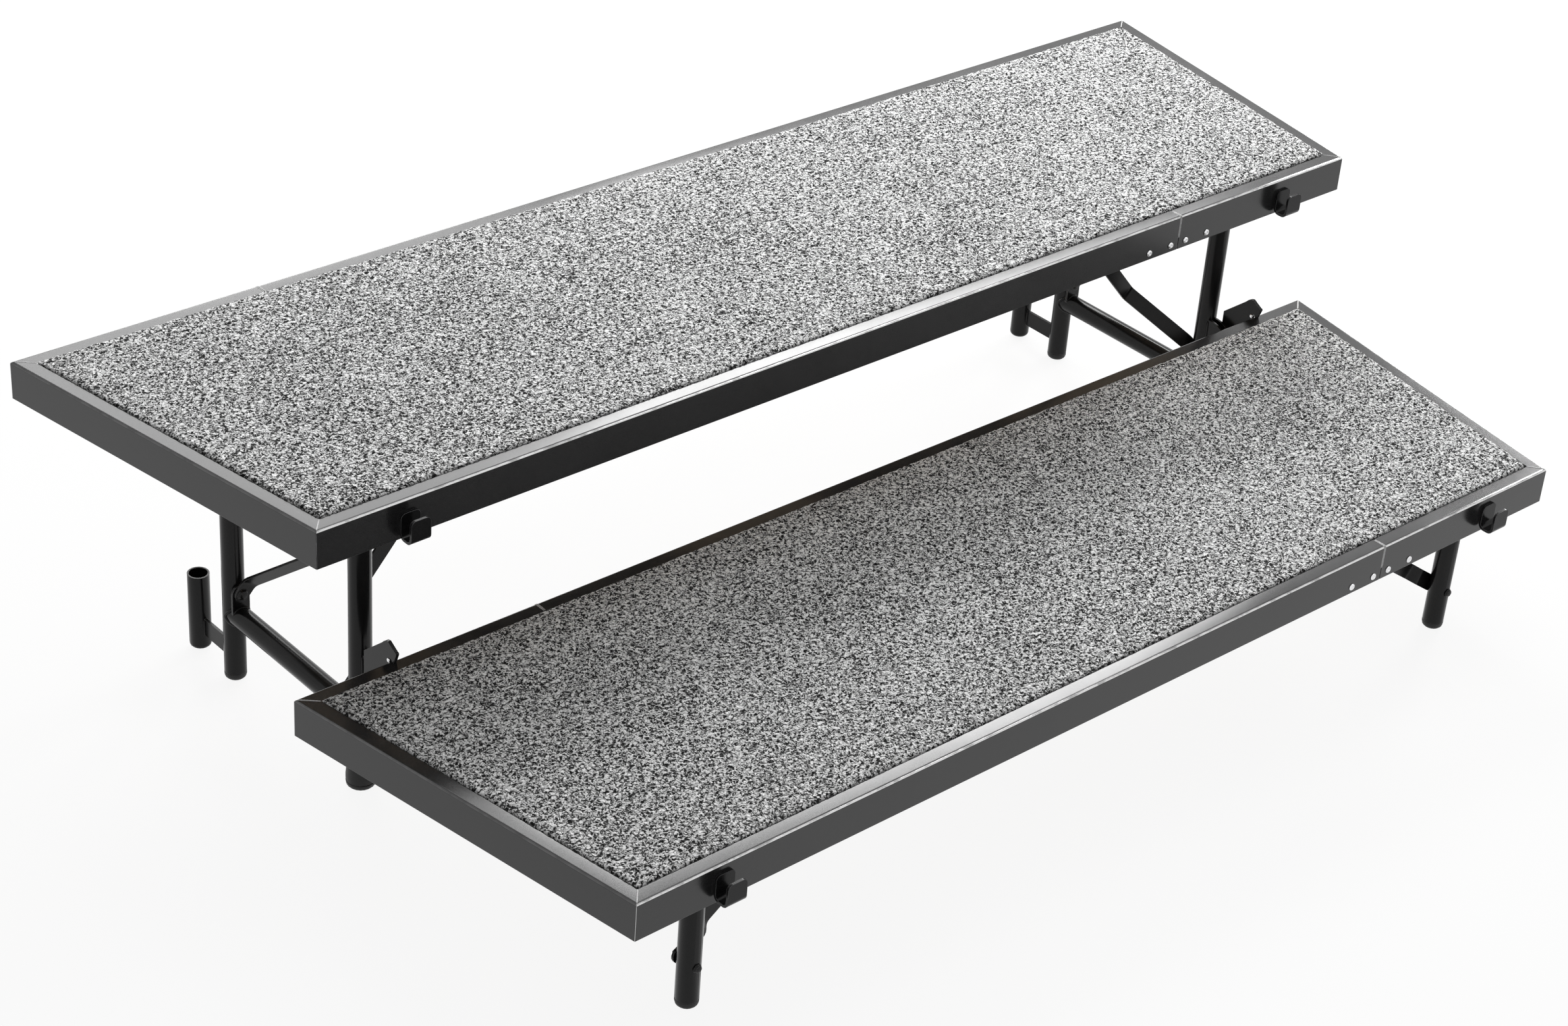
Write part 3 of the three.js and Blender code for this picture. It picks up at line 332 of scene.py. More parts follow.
zincValues = {
    "dull": (0.62, 0.62, 0.63), "bright": (0.92, 0.92, 0.93),
    "roughness": (0.22, 0.08),  # of the dull and the bright patches
    "grain": 900.0, "patches": 160.0, "grainHeight": 0.00002,
    "edgeRadius": 0.0003, "edgePatches": 200.0,
}


def makeZinc(values):
    material, tree, surface = newMaterial("brightZinc")
    edges = placeGroup(tree, edgeGroup, {
        "Radius": values["edgeRadius"], "Wear Size": values["edgePatches"]})
    grain = placeGroup(tree, grainGroup, {
        "Grain Size": values["grain"], "Patch Size": values["patches"]})
    setInputs(tree, surface, {
        "Base Color": mixColours(tree, grain["Patches"], values["dull"], values["bright"]),
        "Roughness": remap(tree, grain["Patches"], *noiseSpan, *values["roughness"]),
        "Normal": bumped(tree, grain["Grain"], values["grainHeight"], edges["Normal"]),
        "Metallic": 1.0,
    })
    return material


plywoodValues = {
    "pale": (0.50, 0.39, 0.27), "brown": (0.29, 0.20, 0.12),
    "grainAcross": 95.0, "grainAlong": 5.0, "grainHeight": 0.0002,
    "latewood": [(0.32, 0.0), (0.48, 0.55), (0.70, 1.0)],
    "roughness": (0.75, 0.55),  # of the brown and the pale wood
}


# Long grain: noise stretched along x, with darker late-wood lines
def makePlywood(values):
    material, tree, surface = newMaterial("plywoodPanel")
    across = values["grainAcross"]
    stretch = addNode(tree, "ShaderNodeMapping", {
        "Vector": addNode(tree, "ShaderNodeTexCoord").outputs["Object"],
        "Scale": (values["grainAlong"], across, across),
    }).outputs["Vector"]
    bands = addNode(tree, "ShaderNodeTexNoise", {
        "Vector": stretch, "Scale": 1.0, "Detail": 6.0, "Roughness": 0.62, "Distortion": 0.6,
    }).outputs["Fac"]
    lines = ramp(tree, bands, values["latewood"])
    setInputs(tree, surface, {
        "Base Color": mixColours(tree, lines, values["brown"], values["pale"]),
        "Roughness": remap(tree, bands, *noiseSpan, *values["roughness"]),
        "Normal": bumped(tree, bands, values["grainHeight"]),
    })
    return material


pileLook = {
    "curlSize": 310.0,          # curls per metre
    "curlWarp": 1.1,
    "curlSpan": (0.36, 0.62),   # the part of the noise that runs from gap to curl; the gaps take the painted shade
    "tuftSize": 300.0,          # single yarns per metre
    "gapDepth": -0.8,           # of the edges of a yarn, against the height of a curl
    "patchSize": 11.0,
    "shares": (0.58, 0.24, 0.18),  # of curls, single yarns and slow patches in the tone
    "shades": [(0.22, 0.008), (0.38, 0.10), (0.50, 0.47), (0.62, 0.84), (0.80, 1.0)],
    "bumpHeight": 0.0016,
    "roughness": 0.95,
    "gloss": 0.12,
}


# Looped pile. A warped noise, cut steeply, gives curls with dark gaps between them, the dark being
# painted shade between the loops; random cells give single yarns of light and dark, and slow
# patches move the whole. Curls also stand up.
def makePile(values):
    material, tree, surface = newMaterial("greyLoopPile")
    warped = objectNoise(
        tree, values["curlSize"], detail=1.0, roughness=0.5, distortion=values["curlWarp"])
    curls = remap(tree, warped, *values["curlSpan"])
    cells = addNode(tree, "ShaderNodeTexVoronoi", {
        "Vector": addNode(tree, "ShaderNodeTexCoord").outputs["Object"],
        "Scale": values["tuftSize"],
    }).outputs
    yarns = addNode(tree, "ShaderNodeSeparateColor", {"Color": cells["Color"]}).outputs["Red"]
    slow = objectNoise(tree, values["patchSize"], detail=3.0, roughness=0.6)
    curlPart, yarnPart, slowPart = (
        calculate(tree, "MULTIPLY", part, share)
        for part, share in zip((curls, yarns, slow), values["shares"]))
    tone = calculate(tree, "ADD", calculate(tree, "ADD", curlPart, yarnPart), slowPart)
    gaps = calculate(tree, "MULTIPLY", cells["Distance"], values["gapDepth"])
    height = calculate(tree, "ADD", curls, gaps)
    setInputs(tree, surface, {
        # the ramp's dark end paints the shade in the gaps between curls
        "Base Color": ramp(tree, tone, values["shades"]),
        "Normal": bumped(tree, height, values["bumpHeight"]),
        "Roughness": values["roughness"],
        "Specular IOR Level": values["gloss"],
    })
    return material


materials = {name: makePaint(name, values) for name, values in paintValues.items()}
materials["zinc"] = makeZinc(zincValues)
materials["plywood"] = makePlywood(plywoodValues)
materials["pile"] = makePile(pileLook)
print("materials made:", len(materials))

smoothingValues = {
    "limit": math.radians(32),  # edges flatter than this shade smooth
    "merge": 0.00001,
}


# Merges the loose triangles, then shades smooth across every edge flatter than the limit
def makeSmoothing(values):
    group = bpy.data.node_groups.new("smoothByAngle", "GeometryNodeTree")
    for way in ("INPUT", "OUTPUT"):
        group.interface.new_socket(
            name="Geometry", in_out=way, socket_type="NodeSocketGeometry")
    start, end = group.nodes.new("NodeGroupInput"), group.nodes.new("NodeGroupOutput")
    merged = addNode(group, "GeometryNodeMergeByDistance", {
        "Geometry": start.outputs[0], "Distance": values["merge"],
    }).outputs["Geometry"]
    faces = addNode(group, "GeometryNodeSetShadeSmooth", {
        "Geometry": merged, "Shade Smooth": True,
    }, domain="FACE").outputs["Geometry"]
    angle = addNode(group, "GeometryNodeInputMeshEdgeAngle").outputs["Unsigned Angle"]
    sharp = addNode(group, "FunctionNodeCompare", {
        0: angle, 1: values["limit"],
    }, data_type="FLOAT", operation="GREATER_THAN").outputs[0]
    edges = addNode(group, "GeometryNodeSetShadeSmooth", {
        "Geometry": faces, "Selection": sharp, "Shade Smooth": False,
    }, domain="EDGE").outputs["Geometry"]
    setInputs(group, end, {0: edges})
    return group


smoothing = makeSmoothing(smoothingValues)
finishes = {  # by the end of a CAD node's name; the others are black paint
    "_foot": "rubberFeet",
    "_panel": "plywood",
    "_splice": "zinc",
    "_carpet": "pile",
    "_front_rail": "framePaint",
    "_rear_rail": "framePaint",
    "_left_rail": "framePaint",
    "_right_rail": "framePaint",
}


# Large flat faces keep their own normals, so that only the bends shade round
def finishNode(name, node):
    finish = next((kind for end, kind in finishes.items() if name.endswith(end)), "blackPaint")
    node.data.materials.clear()
    node.data.materials.append(materials[finish])
    smooth = node.modifiers.new("smoothByAngle", "NODES")
    smooth.node_group = smoothing
    weighted = node.modifiers.new("flatFaces", "WEIGHTED_NORMAL")
    weighted.mode = "FACE_AREA"
    weighted.keep_sharp = True


for name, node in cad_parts.items():
    finishNode(name, node)
print("CAD nodes finished")


# Quads between the points of a grid, wrapped round where a direction is closed
def gridFaces(rows, columns, closeRows=False, closeColumns=False):
    rowStarts = np.arange(rows if closeRows else rows - 1)
    columnStarts = np.arange(columns if closeColumns else columns - 1)
    row, column = np.meshgrid(rowStarts, columnStarts, indexing="ij")
    nextRow, nextColumn = (row + 1) % rows, (column + 1) % columns
    quads = np.stack([
        row * columns + column, nextRow * columns + column,
        nextRow * columns + nextColumn, row * columns + nextColumn,
    ], axis=-1)
    return quads.reshape(-1, 4)


# A mesh object at the origin from arrays of points and quads; points that coincide are merged
def meshFrom(name, points, quads, material, smooth=True, merge=1e-7):
    mesh = bpy.data.meshes.new(name)
    mesh.vertices.add(len(points))
    mesh.vertices.foreach_set("co", np.asarray(points, np.float32).ravel())
    mesh.loops.add(quads.size)
    mesh.loops.foreach_set("vertex_index", np.asarray(quads, np.int32).ravel())
    mesh.polygons.add(len(quads))
    mesh.polygons.foreach_set("loop_start", np.arange(0, quads.size, 4, dtype=np.int32))
    mesh.update(calc_edges=True)
    if merge:
        shell = bmesh.new()
        shell.from_mesh(mesh)
        bmesh.ops.remove_doubles(shell, verts=shell.verts, dist=merge)
        bmesh.ops.dissolve_degenerate(shell, edges=shell.edges, dist=merge)
        bmesh.ops.recalc_face_normals(shell, faces=shell.faces)
        shell.to_mesh(mesh)
        shell.free()
    mesh.polygons.foreach_set("use_smooth", np.full(len(mesh.polygons), smooth))
    mesh.validate()
    mesh.materials.append(material)
    piece = bpy.data.objects.new(name, mesh)
    scene.collection.objects.link(piece)
    return piece


# Several (points, quads) sets as one
def gather(parts):
    starts = np.cumsum([0] + [len(points) for points, quads in parts[:-1]])
    points = np.concatenate([part[0] for part in parts])
    quads = np.concatenate([part[1] + start for part, start in zip(parts, starts)])
    return points, quads


# A stack of closed rings, an array of (ring, point, xyz); the end rings are drawn to their middles
def stacked(rings):
    rings = np.asarray(rings, float)
    ends = [np.broadcast_to(rings[i].mean(axis=0), rings[i].shape) for i in (0, -1)]
    rings = np.concatenate([ends[0][None], rings, ends[1][None]])
    return rings.reshape(-1, 3), gridFaces(*rings.shape[:2], closeColumns=True)


# A profile of (radius, height) in millimetres turned round an axis. A point is "at", plus its
# height along "way", plus its radius times cosine and sine of the angle along two side directions.
def turned(profile, at, way, sides):
    way = np.asarray(way, float)
    side = np.cross(way, (1, 0, 0) if abs(way[0]) < 0.9 else (0, 1, 0))
    side /= np.linalg.norm(side)
    other = np.cross(way, side)
    angles = np.linspace(0, 2 * np.pi, sides, endpoint=False)
    circle = np.cos(angles)[:, None] * side + np.sin(angles)[:, None] * other
    radius, height = np.asarray(profile, float).T * mm
    return stacked(np.asarray(at) + height[:, None, None] * way + radius[:, None, None] * circle)


beadShape = {
    "sides": 8,
    "pitch": 0.0022,
    "ripple": 0.16,
    "aside": (0.31, 0.52, 0.79),  # a direction that no path runs along
    "endPower": 8,
    "endLeast": 0.02,             # an end's radius is the root of this, as a share
}


# A weld bead: a round section carried along a path. Its radius grows with the size of the sine of
# the way walked over the pitch. At the ends of an open path it shrinks, as the root of 1 less the
# eighth power of the share walked from the middle.
def bead(path, radius, pitch=beadShape["pitch"], ripple=beadShape["ripple"], closed=False):
    values = beadShape
    path = np.asarray(path, float)
    ahead = np.roll(path, -1, axis=0) - np.roll(path, 1, axis=0)
    if not closed:
        ahead[0], ahead[-1] = path[1] - path[0], path[-1] - path[-2]
    ahead /= np.linalg.norm(ahead, axis=1)[:, None]
    walked = np.concatenate([[0], np.cumsum(np.linalg.norm(np.diff(path, axis=0), axis=1))])
    size = radius * (1 + ripple * np.abs(np.sin(np.pi * walked / pitch)))
    if not closed:
        along = 2 * walked / walked[-1] - 1
        size = size * np.sqrt(np.clip(1 - along ** values["endPower"], values["endLeast"], 1))
    across = np.cross(ahead, values["aside"])
    across /= np.linalg.norm(across, axis=1)[:, None]
    other = np.cross(ahead, across)
    angles = np.linspace(0, 2 * np.pi, values["sides"], endpoint=False)[None, :, None]
    rings = path[:, None] + size[:, None, None] * (
        np.cos(angles) * across[:, None] + np.sin(angles) * other[:, None])
    if closed:
        faces = gridFaces(*rings.shape[:2], closeRows=True, closeColumns=True)
        return rings.reshape(-1, 3), faces
    return stacked(rings)


# Points spread evenly from start to end
def straight(start, end, count):
    share = np.linspace(0, 1, count)[:, None]
    return np.asarray(start) * (1 - share) + np.asarray(end) * share


def addPiece(name, parts, finish, body, replaces=()):
    points, quads = gather(parts)
    piece = meshFrom(name, points, quads, materials[finish])
    if replaces:
        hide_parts(*replaces)
    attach(piece, body)
    return piece


deckValues = {
    "taper": 1 / 6,       # what each side gains in half width per metre towards the rear
    "rimWidth": 19 * mm,
    "rimRadius": 3 * mm,
}


# The four outer corners of a deck's rim in plan, front left first and on round, and its height
def deckRim(level):
    lowLeft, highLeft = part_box(level + "_left_rail")
    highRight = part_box(level + "_right_rail")[1]
    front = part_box(level + "_front_rail")[0].y
    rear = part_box(level + "_rear_rail")[1].y
    narrower = deckValues["taper"] * (rear - front)
    corners = [
        (lowLeft.x + narrower, front), (highRight.x - narrower, front),
        (highRight.x, rear), (lowLeft.x, rear),
    ]
    return np.array(corners), highLeft.z


rims = {level: deckRim(level) for level in levels}

pileShape = {
    "seeds": {"upper": 11, "lower": 23},
    "step": 0.0027,        # from tuft to tuft
    "shake": 0.55,         # sideways range of single tufts, as a share of a step
    "tuftHeight": 0.0011,  # random lift of single tufts
    "rollHeight": 0.0004,  # slow unevenness of the glued-down carpet
    "rollWaves": ((7.1, 2.3, 11.0), (13.3, 1.7, 5.2)),  # along x and y, see pileTop
    "edgeRound": 0.0030,   # how far in from its edge the pile starts to drop
    "edgeDrop": 0.0010,
    "fray": 0.0019,        # how far the lowest loops lie out over the rim, at most
    "frayLeast": 0.35,     # and at least, as a share of that
    "overRim": 0.0033,     # height of the loops above the carpet's back
}


# A grid over the tapered deck, u along x from -1 to 1 and v along y from 0 to 1. With the points
# come their distance in from the nearest edge, and the way out for those on an edge.
def carpetPlan(low, high, frontHalf, rearHalf):
    u = np.linspace(-1, 1, int(rearHalf * 2 / pileShape["step"]))[None, :]
    v = np.linspace(0, 1, int((high.y - low.y) / pileShape["step"]))[:, None]
    half = frontHalf + (rearHalf - frontHalf) * v
    x = (low.x + high.x) / 2 + u * half
    y = np.broadcast_to(low.y + v * (high.y - low.y), x.shape)
    aside = np.broadcast_to((1 - np.abs(u)) * half, x.shape)
    inwards = np.minimum.reduce([aside, y - low.y, high.y - y])
    ways = np.broadcast_arrays(np.sign(u) * (np.abs(u) == 1), (v == 1) * 1.0 - (v == 0))
    return x, y, inwards, np.stack(ways, axis=-1)


# The pile's top: its full height less a quarter round near the edges, plus random tufts and a slow
# roll. The roll is the product of a wave along x and one along y. Each is the sine of its pitch
# times its own coordinate plus its bend times the sine of a second pitch times the other one.
# Points inside the edge are shaken sideways.
def pileTop(x, y, inwards, top, rng):
    values = pileShape
    turn = np.clip(1 - inwards / values["edgeRound"], 0, 1)
    drop = values["edgeDrop"] * (1 - np.sqrt(np.clip(1 - turn ** 2, 0, 1)))
    tufts = rng.random(x.shape) * values["tuftHeight"]
    wavesX, wavesY = (
        np.sin(pitch * here + bend * np.sin(otherPitch * there))
        for (pitch, bend, otherPitch), here, there in zip(values["rollWaves"], (x, y), (y, x)))
    roll = values["rollHeight"] * (wavesX * wavesY * 0.5 - 0.5)
    z = top - values["tuftHeight"] + tufts + roll - drop
    shake = (rng.random((2,) + x.shape) - 0.5) * values["step"] * values["shake"]
    calm = np.clip(inwards / values["step"], 0, 1)
    return np.stack([x + shake[0] * calm, y + shake[1] * calm, z], axis=-1)


# Rings that close the pile round: its edge, loose loops that lie a little over the rim, the back's
# edge, and the back drawn in to its middle
def pileWall(pile, x, y, outwards, centre, rng):
    values = pileShape
    index = np.arange(x.size).reshape(x.shape)
    around = np.concatenate([index[0, :-1], index[:-1, -1], index[-1, :0:-1], index[:0:-1, 0]])
    foot = np.stack([x, y], axis=-1).reshape(-1, 2)[around]
    least = values["frayLeast"]
    reach = least + (1 - least) * rng.random((len(foot), 1))
    loops = foot + outwards.reshape(-1, 2)[around] * values["fray"] * reach
    heights = (centre[2] + values["overRim"], centre[2])
    over, back = (np.column_stack([plan, np.full(len(foot), height)])
                  for plan, height in zip((loops, foot), heights))
    drawnIn = [centre + (back - centre) * share for share in (0.5, 0.0)]
    return np.stack([pile.reshape(-1, 3)[around], over, back] + drawnIn)


# A carpet that lies flat on its panel, as deep and wide as the rim's opening
def makeCarpet(level):
    low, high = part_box(level + "_carpet")
    rng = np.random.default_rng(pileShape["seeds"][level])
    depth = high.y - low.y
    rearHalf = (high.x - low.x) / 2
    frontHalf = rearHalf - deckValues["taper"] * depth
    centre = np.array([(low.x + high.x) / 2, (low.y + high.y) / 2, low.z])
    x, y, inwards, outwards = carpetPlan(low, high, frontHalf, rearHalf)
    pile = pileTop(x, y, inwards, high.z, rng)
    wall = pileWall(pile, x, y, outwards, centre, rng)
    parts = [(pile.reshape(-1, 3), gridFaces(*x.shape)),
             (wall.reshape(-1, 3), gridFaces(*wall.shape[:2], closeColumns=True))]
    carpet = addPiece(
        level + "_loop_pile", parts, "pile", level + "_deck", [level + "_carpet"])


for level in levels:
    makeCarpet(level)
print("carpets laid")

mitreValues = {
    "radius": {"upper": 0.00055, "lower": 0.0008},
    "start": 0.55 * deckValues["rimRadius"],  # in from the outer corner
    "end": deckValues["rimWidth"] - 1 * mm,
    "sunk": 0.55,     # share of a bead's radius that lies in the paint
    "pitch": 0.0031,
    "ripple": 0.3,
    "points": 40,
}


# Mitre beads: straight lines on the rim from each outer corner to the inner one; their light grey
# is worn paint in part and a painted highlight in part
def makeMitres(level):
    values = mitreValues
    corners, top = rims[level]
    radius = values["radius"][level]
    z = top - radius * values["sunk"]
    parts = []
    for i, corner in enumerate(corners):
        before, after = corners[i - 1] - corner, corners[(i + 1) % 4] - corner
        before, after = before / np.linalg.norm(before), after / np.linalg.norm(after)
        inwards = before + after
        inwards /= abs(np.cross(inwards, before))  # moves in by one unit of width
        start, end = ((*(corner + inwards * values[place]), z) for place in ("start", "end"))
        line = straight(start, end, values["points"])
        parts.append(bead(line, radius, values["pitch"], values["ripple"]))
    addPiece(level + "_corner_welds", parts, "weldPaintAndHighlight", level + "_deck")


for level in levels:
    makeMitres(level)


# x of a seam, y of the rail's face there, height of the rim, and the way out of the deck
def seamPlace(level, side):
    low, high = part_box(f"{level}_{side}_splice")
    corners, top = rims[level]
    corner, outwards = (corners[0], -1) if side == "front" else (corners[2], 1)
    return (low.x + high.x) / 2, corner[1], top, outwards


spliceValues = {
    "wall": 2.3 * mm,       # from the rail's face to the plate
    "thickness": 2.5 * mm,
    "cornerRadius": 7 * mm,
    "cornerPoints": 48,
    "edgeInset": 0.5 * mm,  # the plate's softened edges
    "edgeDepth": 0.4 * mm,
    "rivetPlaces": (-50 * mm, -13 * mm, 13 * mm, 50 * mm),
    "rivetDrop": 35.85 * mm,
    "rivetSeat": 0.3 * mm,  # in front of the rail's face
    "rivetSides": 28,
    "headProfile": [        # millimetres: shank, domed ring, hollow middle and broken stem
        (2.3, -3.4), (2.3, 0.0), (4.2, 0.0), (4.2, 0.3), (4.0, 0.75), (3.5, 1.25), (2.8, 1.6),
        (2.1, 1.75), (1.75, 1.7), (1.6, 1.45), (1.5, 0.6), (1.15, 0.55), (1.0, 0.6), (0.9, 1.05),
        (0.6, 1.2),
    ],
}


# A plate with rounded corners and softened edges: a stack of rounded rectangles, each a corner of
# the inner rectangle plus the radius times cosine and sine of the angle
def splicePlate(low, high, face, outwards):
    values = spliceValues
    near = face - outwards * values["wall"]
    radius, thickness = values["cornerRadius"], values["thickness"]
    middle = np.array([(low.x + high.x) / 2, (low.z + high.z) / 2])
    half = np.array([(high.x - low.x) / 2, (high.z - low.z) / 2])
    count = values["cornerPoints"]
    angles = np.linspace(0, 2 * np.pi, count, endpoint=False) + np.pi / count
    circle = np.stack([np.cos(angles), np.sin(angles)], axis=-1)
    inner = np.sign(circle) * (half - radius)
    inset, soft = values["edgeInset"], values["edgeDepth"]
    rings = []
    for depth, less in ((0, inset), (soft, 0), (thickness - soft, 0), (thickness, inset)):
        plan = middle + (inner + (radius - less) * circle)
        y = np.full(count, near - outwards * depth)
        rings.append(np.stack([plan[:, 0], y, plan[:, 1]], axis=-1))
    return stacked(rings)


# The plate behind a seam, with four blind rivets through the rail's face
def makeSplice(level, side):
    values = spliceValues
    node = f"{level}_{side}_splice"
    x, face, top, outwards = seamPlace(level, side)
    parts = [splicePlate(*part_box(node), face, outwards)]
    for place in values["rivetPlaces"]:
        at = (x + place, face + outwards * values["rivetSeat"], top - values["rivetDrop"])
        parts.append(turned(values["headProfile"], at, (0, outwards, 0), values["rivetSides"]))
    addPiece(node + "_riveted", parts, "zinc", level + "_deck", [node])


seamValues = {
    "radius": 0.0006,
    "sunk": 0.55,          # share of a seam line's radius that lies in the paint
    "halfGap": 0.6 * mm,
    "aside": 0.6,          # share of the radius from the gap to the middle of a chipped edge
    "start": 2 * mm,       # short of the rim's inner edge
    "drop": 30 * mm,       # down to here below the rim
    "pitch": 0.0047,
    "ripple": 0.5,
    "points": (16, 8, 24),  # over the rim, round the bend and down the face
}


# The path of one seam line at this x: over the rim, a quarter circle round its bend and down
# the face
def seamPath(x, face, top, outwards):
    values = seamValues
    sink = values["radius"] * values["sunk"]
    bend = deckValues["rimRadius"]
    overPoints, bendPoints, downPoints = values["points"]
    start = face - outwards * (deckValues["rimWidth"] - values["start"])
    over = straight((x, start, top - sink), (x, face - outwards * bend, top - sink), overPoints)
    arc = np.linspace(0, np.pi / 2, bendPoints)
    around = np.stack([
        np.full(bendPoints, x),
        face - outwards * (bend - (bend - sink) * np.sin(arc)),
        top - bend + (bend - sink) * np.cos(arc),
    ], axis=-1)
    skin = face - outwards * sink
    down = straight((x, skin, top - bend), (x, skin, top - values["drop"]), downPoints)
    return np.concatenate([over[:-1], around, down[1:]])


# Light lines along both edges of the front and rear seams: chipped paint in part, painted highlight
# in part
def makeSeams(level):
    values = seamValues
    aside = values["halfGap"] + values["radius"] * values["aside"]
    parts = []
    for side in ("front", "rear"):
        x, face, top, outwards = seamPlace(level, side)
        for edge in (-1, 1):
            path = seamPath(x + edge * aside, face, top, outwards)
            parts.append(bead(path, values["radius"], values["pitch"], values["ripple"]))
    addPiece(level + "_seam_edges", parts, "weldPaintAndHighlight", level + "_deck")


for level in levels:
    makeSplice(level, "front")
    makeSplice(level, "rear")
    makeSeams(level)
print("corners and splices finished")

weldValues = {
    "radius": 0.0017,
    "smallRadius": 0.0013,
    "tube": 12.7 * mm,      # radius of the legs, the crossbar and the socket
    "cope": 13.0 * mm,      # radius to which the crossbar is cut at a leg
    "tabFace": 3.3 * mm,    # from a leg to the free face of its brace tab
    "tabReach": 11 * mm,
    "plateHalf": 2 * mm,    # half the thickness of the socket's plate
    "plateSpan": (23 * mm, 43 * mm),
    "pinHeight": 160 * mm,  # of the link pin that the lower deck hangs on
    "cheekFaces": (-8.2 * mm, 5.5 * mm),  # outboard of the leg's axis
    "cheekSpan": (-15 * mm, 14 * mm),     # below and above the pin
    "saddlePoints": 150,
    "tabPoints": 40,
    "linePoints": 30,
}


# Where the crossbar meets a leg the path is the curve of two equal tubes: x = R sin t,
# z = z0 + R cos t, and y = the root of (cope squared less x squared) from the leg. Another bead
# lies over the crossbar at the free face of the brace tab.
def crossbarWelds(x0, legY, z0, way):
    values = weldValues
    tube = values["tube"]
    t = np.linspace(0, 2 * np.pi, values["saddlePoints"], endpoint=False)
    saddle = np.stack([
        x0 + tube * np.sin(t),
        legY + way * np.sqrt(values["cope"] ** 2 - (tube * np.sin(t)) ** 2),
        z0 + tube * np.cos(t),
    ], axis=-1)
    reach = math.asin(values["tabReach"] / tube)
    arc = np.linspace(-reach, reach, values["tabPoints"])
    tab = np.full(len(arc), legY + way * (tube + values["tabFace"]))
    overTab = np.stack([x0 + tube * np.sin(arc), tab, z0 + tube * np.cos(arc)], axis=-1)
    return [bead(saddle, values["radius"], closed=True), bead(overTab, values["smallRadius"])]


def lineWeld(start, end):
    return bead(straight(start, end, weldValues["linePoints"]), weldValues["smallRadius"])


# The beads of one leg set: crossbar, both faces of the socket's plate, and the link's cheeks
def makeLegWelds(side):
    values = weldValues
    name = f"upper_{side}"
    tube, cope = values["tube"], values["cope"]
    rearLow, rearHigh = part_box(name + "_rear_leg")
    frontLow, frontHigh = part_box(name + "_front_leg")
    x0 = (rearLow.x + rearHigh.x) / 2
    rearY, frontY = (rearLow.y + rearHigh.y) / 2, (frontLow.y + frontHigh.y) / 2
    z0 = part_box(name + "_crossbar")[0].z + tube
    parts = crossbarWelds(x0, rearY, z0, -1) + crossbarWelds(x0, frontY, z0, 1)
    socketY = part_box(name + "_rail_socket")[1].y - tube
    for face in (-1, 1):
        x = x0 + face * values["plateHalf"]
        for y in (rearY + cope, socketY - tube):
            low, high = values["plateSpan"]
            parts.append(lineWeld((x, y, low), (x, y, high)))
    outwards = 1 if side == "right" else -1
    low, high = (values["pinHeight"] + height for height in values["cheekSpan"])
    for place in values["cheekFaces"]:
        x = x0 + outwards * place
        y = frontY - math.sqrt(cope ** 2 - place ** 2)
        parts.append(lineWeld((x, y, low), (x, y, high)))
    addPiece(name + "_frame_welds", parts, "blackPaint", name + "_legs")


for side in ("left", "right"):
    makeLegWelds(side)
print("welds laid")

screwValues = {
    "profile": [  # millimetres: a pan head, its cross recess simplified to a cone
        (1.9, -1.0), (1.9, 0.0), (3.9, 0.0), (4.0, 0.5), (3.7, 1.2), (2.9, 1.75), (1.6, 2.0),
        (1.2, 1.9), (0.5, 0.9),
    ],
    "along": 14 * mm,       # screws stand this far either side of the hinge's middle
    "flange": 21.8 * mm,    # and this far in front of and behind the leg's axis
    "flangeDrop": 22.0 * mm,
    "flangeSides": 16,
    "ledgeDrop": 21.5 * mm,
    "ledgeInset": 22 * mm,  # from the rail's face
    "ledgeEnd": 70 * mm,    # from the deck's corners
    "ledgeStep": 190 * mm,
    "ledgeSides": 12,
}
hinges = {  # each with its leg, and where its bracket has flanges: -1 in front, 1 behind
    "upper": (("rear_hinge", "rear_leg", (-1, 1)), ("front_hinge", "front_leg", (-1, 1))),
    "lower": (("hinge", "leg", (1,)),),
}


# Pan-head screws in the hinge flanges and in the panel's ledges, heads down
def makeScrews(level):
    values = screwValues
    corners, top = rims[level]
    profile, down = values["profile"], (0, 0, -1)
    parts = []
    z = top - values["flangeDrop"]
    for side in ("left", "right"):
        for hinge, leg, ways in hinges[level]:
            low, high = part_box(f"{level}_{side}_{hinge}")
            legLow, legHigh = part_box(f"{level}_{side}_{leg}")
            x, y = (low.x + high.x) / 2, (legLow.y + legHigh.y) / 2
            for way in ways:
                for place in (-1, 1):
                    at = (x + place * values["along"], y + way * values["flange"], z)
                    parts.append(turned(profile, at, down, values["flangeSides"]))
    z = top - values["ledgeDrop"]
    for left, right, inwards in ((corners[0], corners[1], 1), (corners[3], corners[2], -1)):
        y = left[1] + inwards * values["ledgeInset"]
        count = int((right[0] - left[0]) / values["ledgeStep"])
        end = values["ledgeEnd"]
        for x in np.linspace(left[0] + end, right[0] - end, count):
            parts.append(turned(profile, (x, y, z), down, values["ledgeSides"]))
    addPiece(level + "_panel_screws", parts, "zinc", level + "_deck")


for level in levels:
    makeScrews(level)

hangerRivetValues = {
    "profile": [  # millimetres
        (1.2, -0.6), (1.2, 0.0), (2.6, 0.0), (2.5, 0.5), (1.9, 1.0), (0.9, 1.25),
    ],
    "behind": 3.4 * mm,  # the rail's face
    "below": 0.5 * mm,   # the rim
    "sides": 16,
}


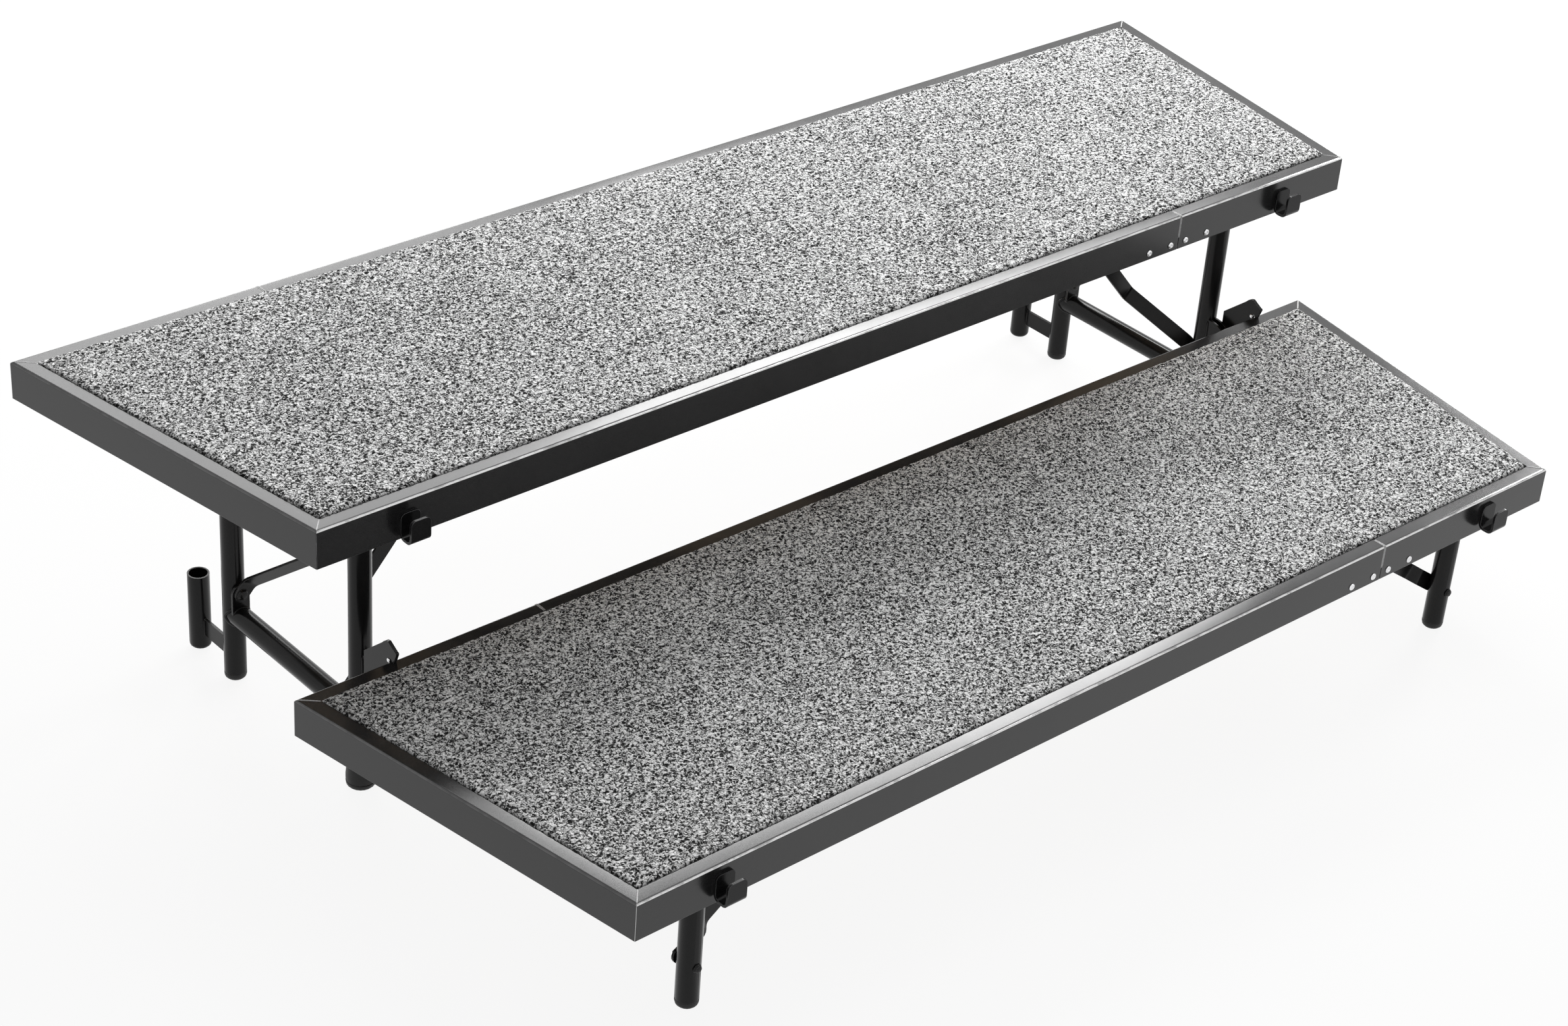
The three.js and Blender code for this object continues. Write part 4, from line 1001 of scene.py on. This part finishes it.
# A small rivet through each hanger, a head on either face
def makeHangerRivet(side):
    values = hangerRivetValues
    low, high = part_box(f"lower_{side}_hanger")
    corners, top = rims["lower"]
    y, z = corners[2][1] + values["behind"], top - values["below"]
    parts = [turned(values["profile"], (x, y, z), (way, 0, 0), values["sides"])
             for x, way in ((low.x, -1), (high.x, 1))]
    addPiece(f"lower_{side}_hanger_rivet", parts, "zinc", "lower_deck")


for side in ("left", "right"):
    makeHangerRivet(side)
print("screws and rivets placed")

stageValues = {
    "floorSize": 60.0,
    "floorTone": 0.92,
    "floorRoughness": 0.9,
    "floorGlow": 0.90,    # share of plain white in the floor as seen; the rest holds the shadow
    "worldLight": 0.25,
}


# 1 for rays from the camera, in reflections and through glass, so that all of them see white
def seenAsBackground(tree):
    rays = addNode(tree, "ShaderNodeLightPath").outputs
    seen = calculate(tree, "MAXIMUM", rays["Is Camera Ray"], rays["Is Glossy Ray"])
    return calculate(tree, "MAXIMUM", seen, rays["Is Transmission Ray"])


def makeFloor(values):
    half = values["floorSize"] / 2
    points = np.array([(-half, -half, 0), (half, -half, 0), (half, half, 0), (-half, half, 0)])
    material, tree, surface = newMaterial("paleFloor")
    setInputs(tree, surface, {
        "Base Color": (values["floorTone"],) * 3 + (1,),
        "Roughness": values["floorRoughness"],
        "Specular IOR Level": 0.0,
    })
    white = addNode(tree, "ShaderNodeEmission", {"Color": (1, 1, 1, 1), "Strength": 1.0})
    share = calculate(tree, "MULTIPLY", seenAsBackground(tree), values["floorGlow"])
    mixed = addNode(tree, "ShaderNodeMixShader", {
        0: share, 1: surface.outputs["BSDF"], 2: white.outputs["Emission"]})
    output = next(node for node in tree.nodes if node.type == "OUTPUT_MATERIAL")
    setInputs(tree, output, {"Surface": mixed.outputs["Shader"]})
    quad = np.array([[0, 1, 2, 3]])
    meshFrom("floor", points, quad, material, smooth=False, merge=None)


def makeWorld(values):
    world = bpy.data.worlds.new("studio")
    world.use_nodes = True
    tree = world.node_tree
    tree.nodes.clear()
    light, white = (
        addNode(tree, "ShaderNodeBackground", {"Color": (1, 1, 1, 1), "Strength": strength})
        for strength in (values["worldLight"], 1.0))
    mixed = addNode(tree, "ShaderNodeMixShader", {
        0: seenAsBackground(tree), 1: light.outputs[0], 2: white.outputs[0]})
    addNode(tree, "ShaderNodeOutputWorld", {"Surface": mixed.outputs[0]})
    scene.world = world


lampValues = {  # each with its place, the point it is aimed at, its size in metres and its watts
    "backSoftbox": {
        "place": (2.06, 2.00, 2.30), "aim": (0.1, 0.0, 0.3), "size": (1.40, 0.9), "power": 46.0},
    "backLeft": {
        "place": (0.80, 2.50, 2.35), "aim": (0.0, 0.0, 0.6), "size": (1.3, 1.5), "power": 19.4},
    "lowBack": {
        "place": (0.60, 4.00, 1.60), "aim": (0.1, 0.2, 0.3), "size": (3.0, 0.8), "power": 70.0},
    "lowRight": {
        "place": (4.20, 1.20, 1.50), "aim": (0.1, 0.0, 0.3), "size": (1.4, 0.8), "power": 115.0},
    "topStrip": {
        "place": (1.90, -0.40, 2.70), "aim": (0.2, -0.1, 0.3), "size": (2.8, 0.25), "power": 16.0},
    "overhead": {
        "place": (0.70, 0.50, 3.30), "aim": (0.1, 0.0, 0.3), "size": (1.6, 1.2), "power": 17.0},
}


def makeLamp(name, values):
    data = bpy.data.lights.new(name, "AREA")
    data.shape = "RECTANGLE"
    data.size, data.size_y = values["size"]
    data.energy = values["power"]
    lamp = bpy.data.objects.new(name, data)
    place, aim = Vector(values["place"]), Vector(values["aim"])
    turn = (place - aim).to_track_quat("Z", "Y").to_matrix().to_4x4()
    lamp.matrix_world = Matrix.Translation(place) @ turn
    lamp.visible_camera = False
    scene.collection.objects.link(lamp)


makeFloor(stageValues)
makeWorld(stageValues)
for name, values in lampValues.items():
    makeLamp(name, values)
print("stage lit")
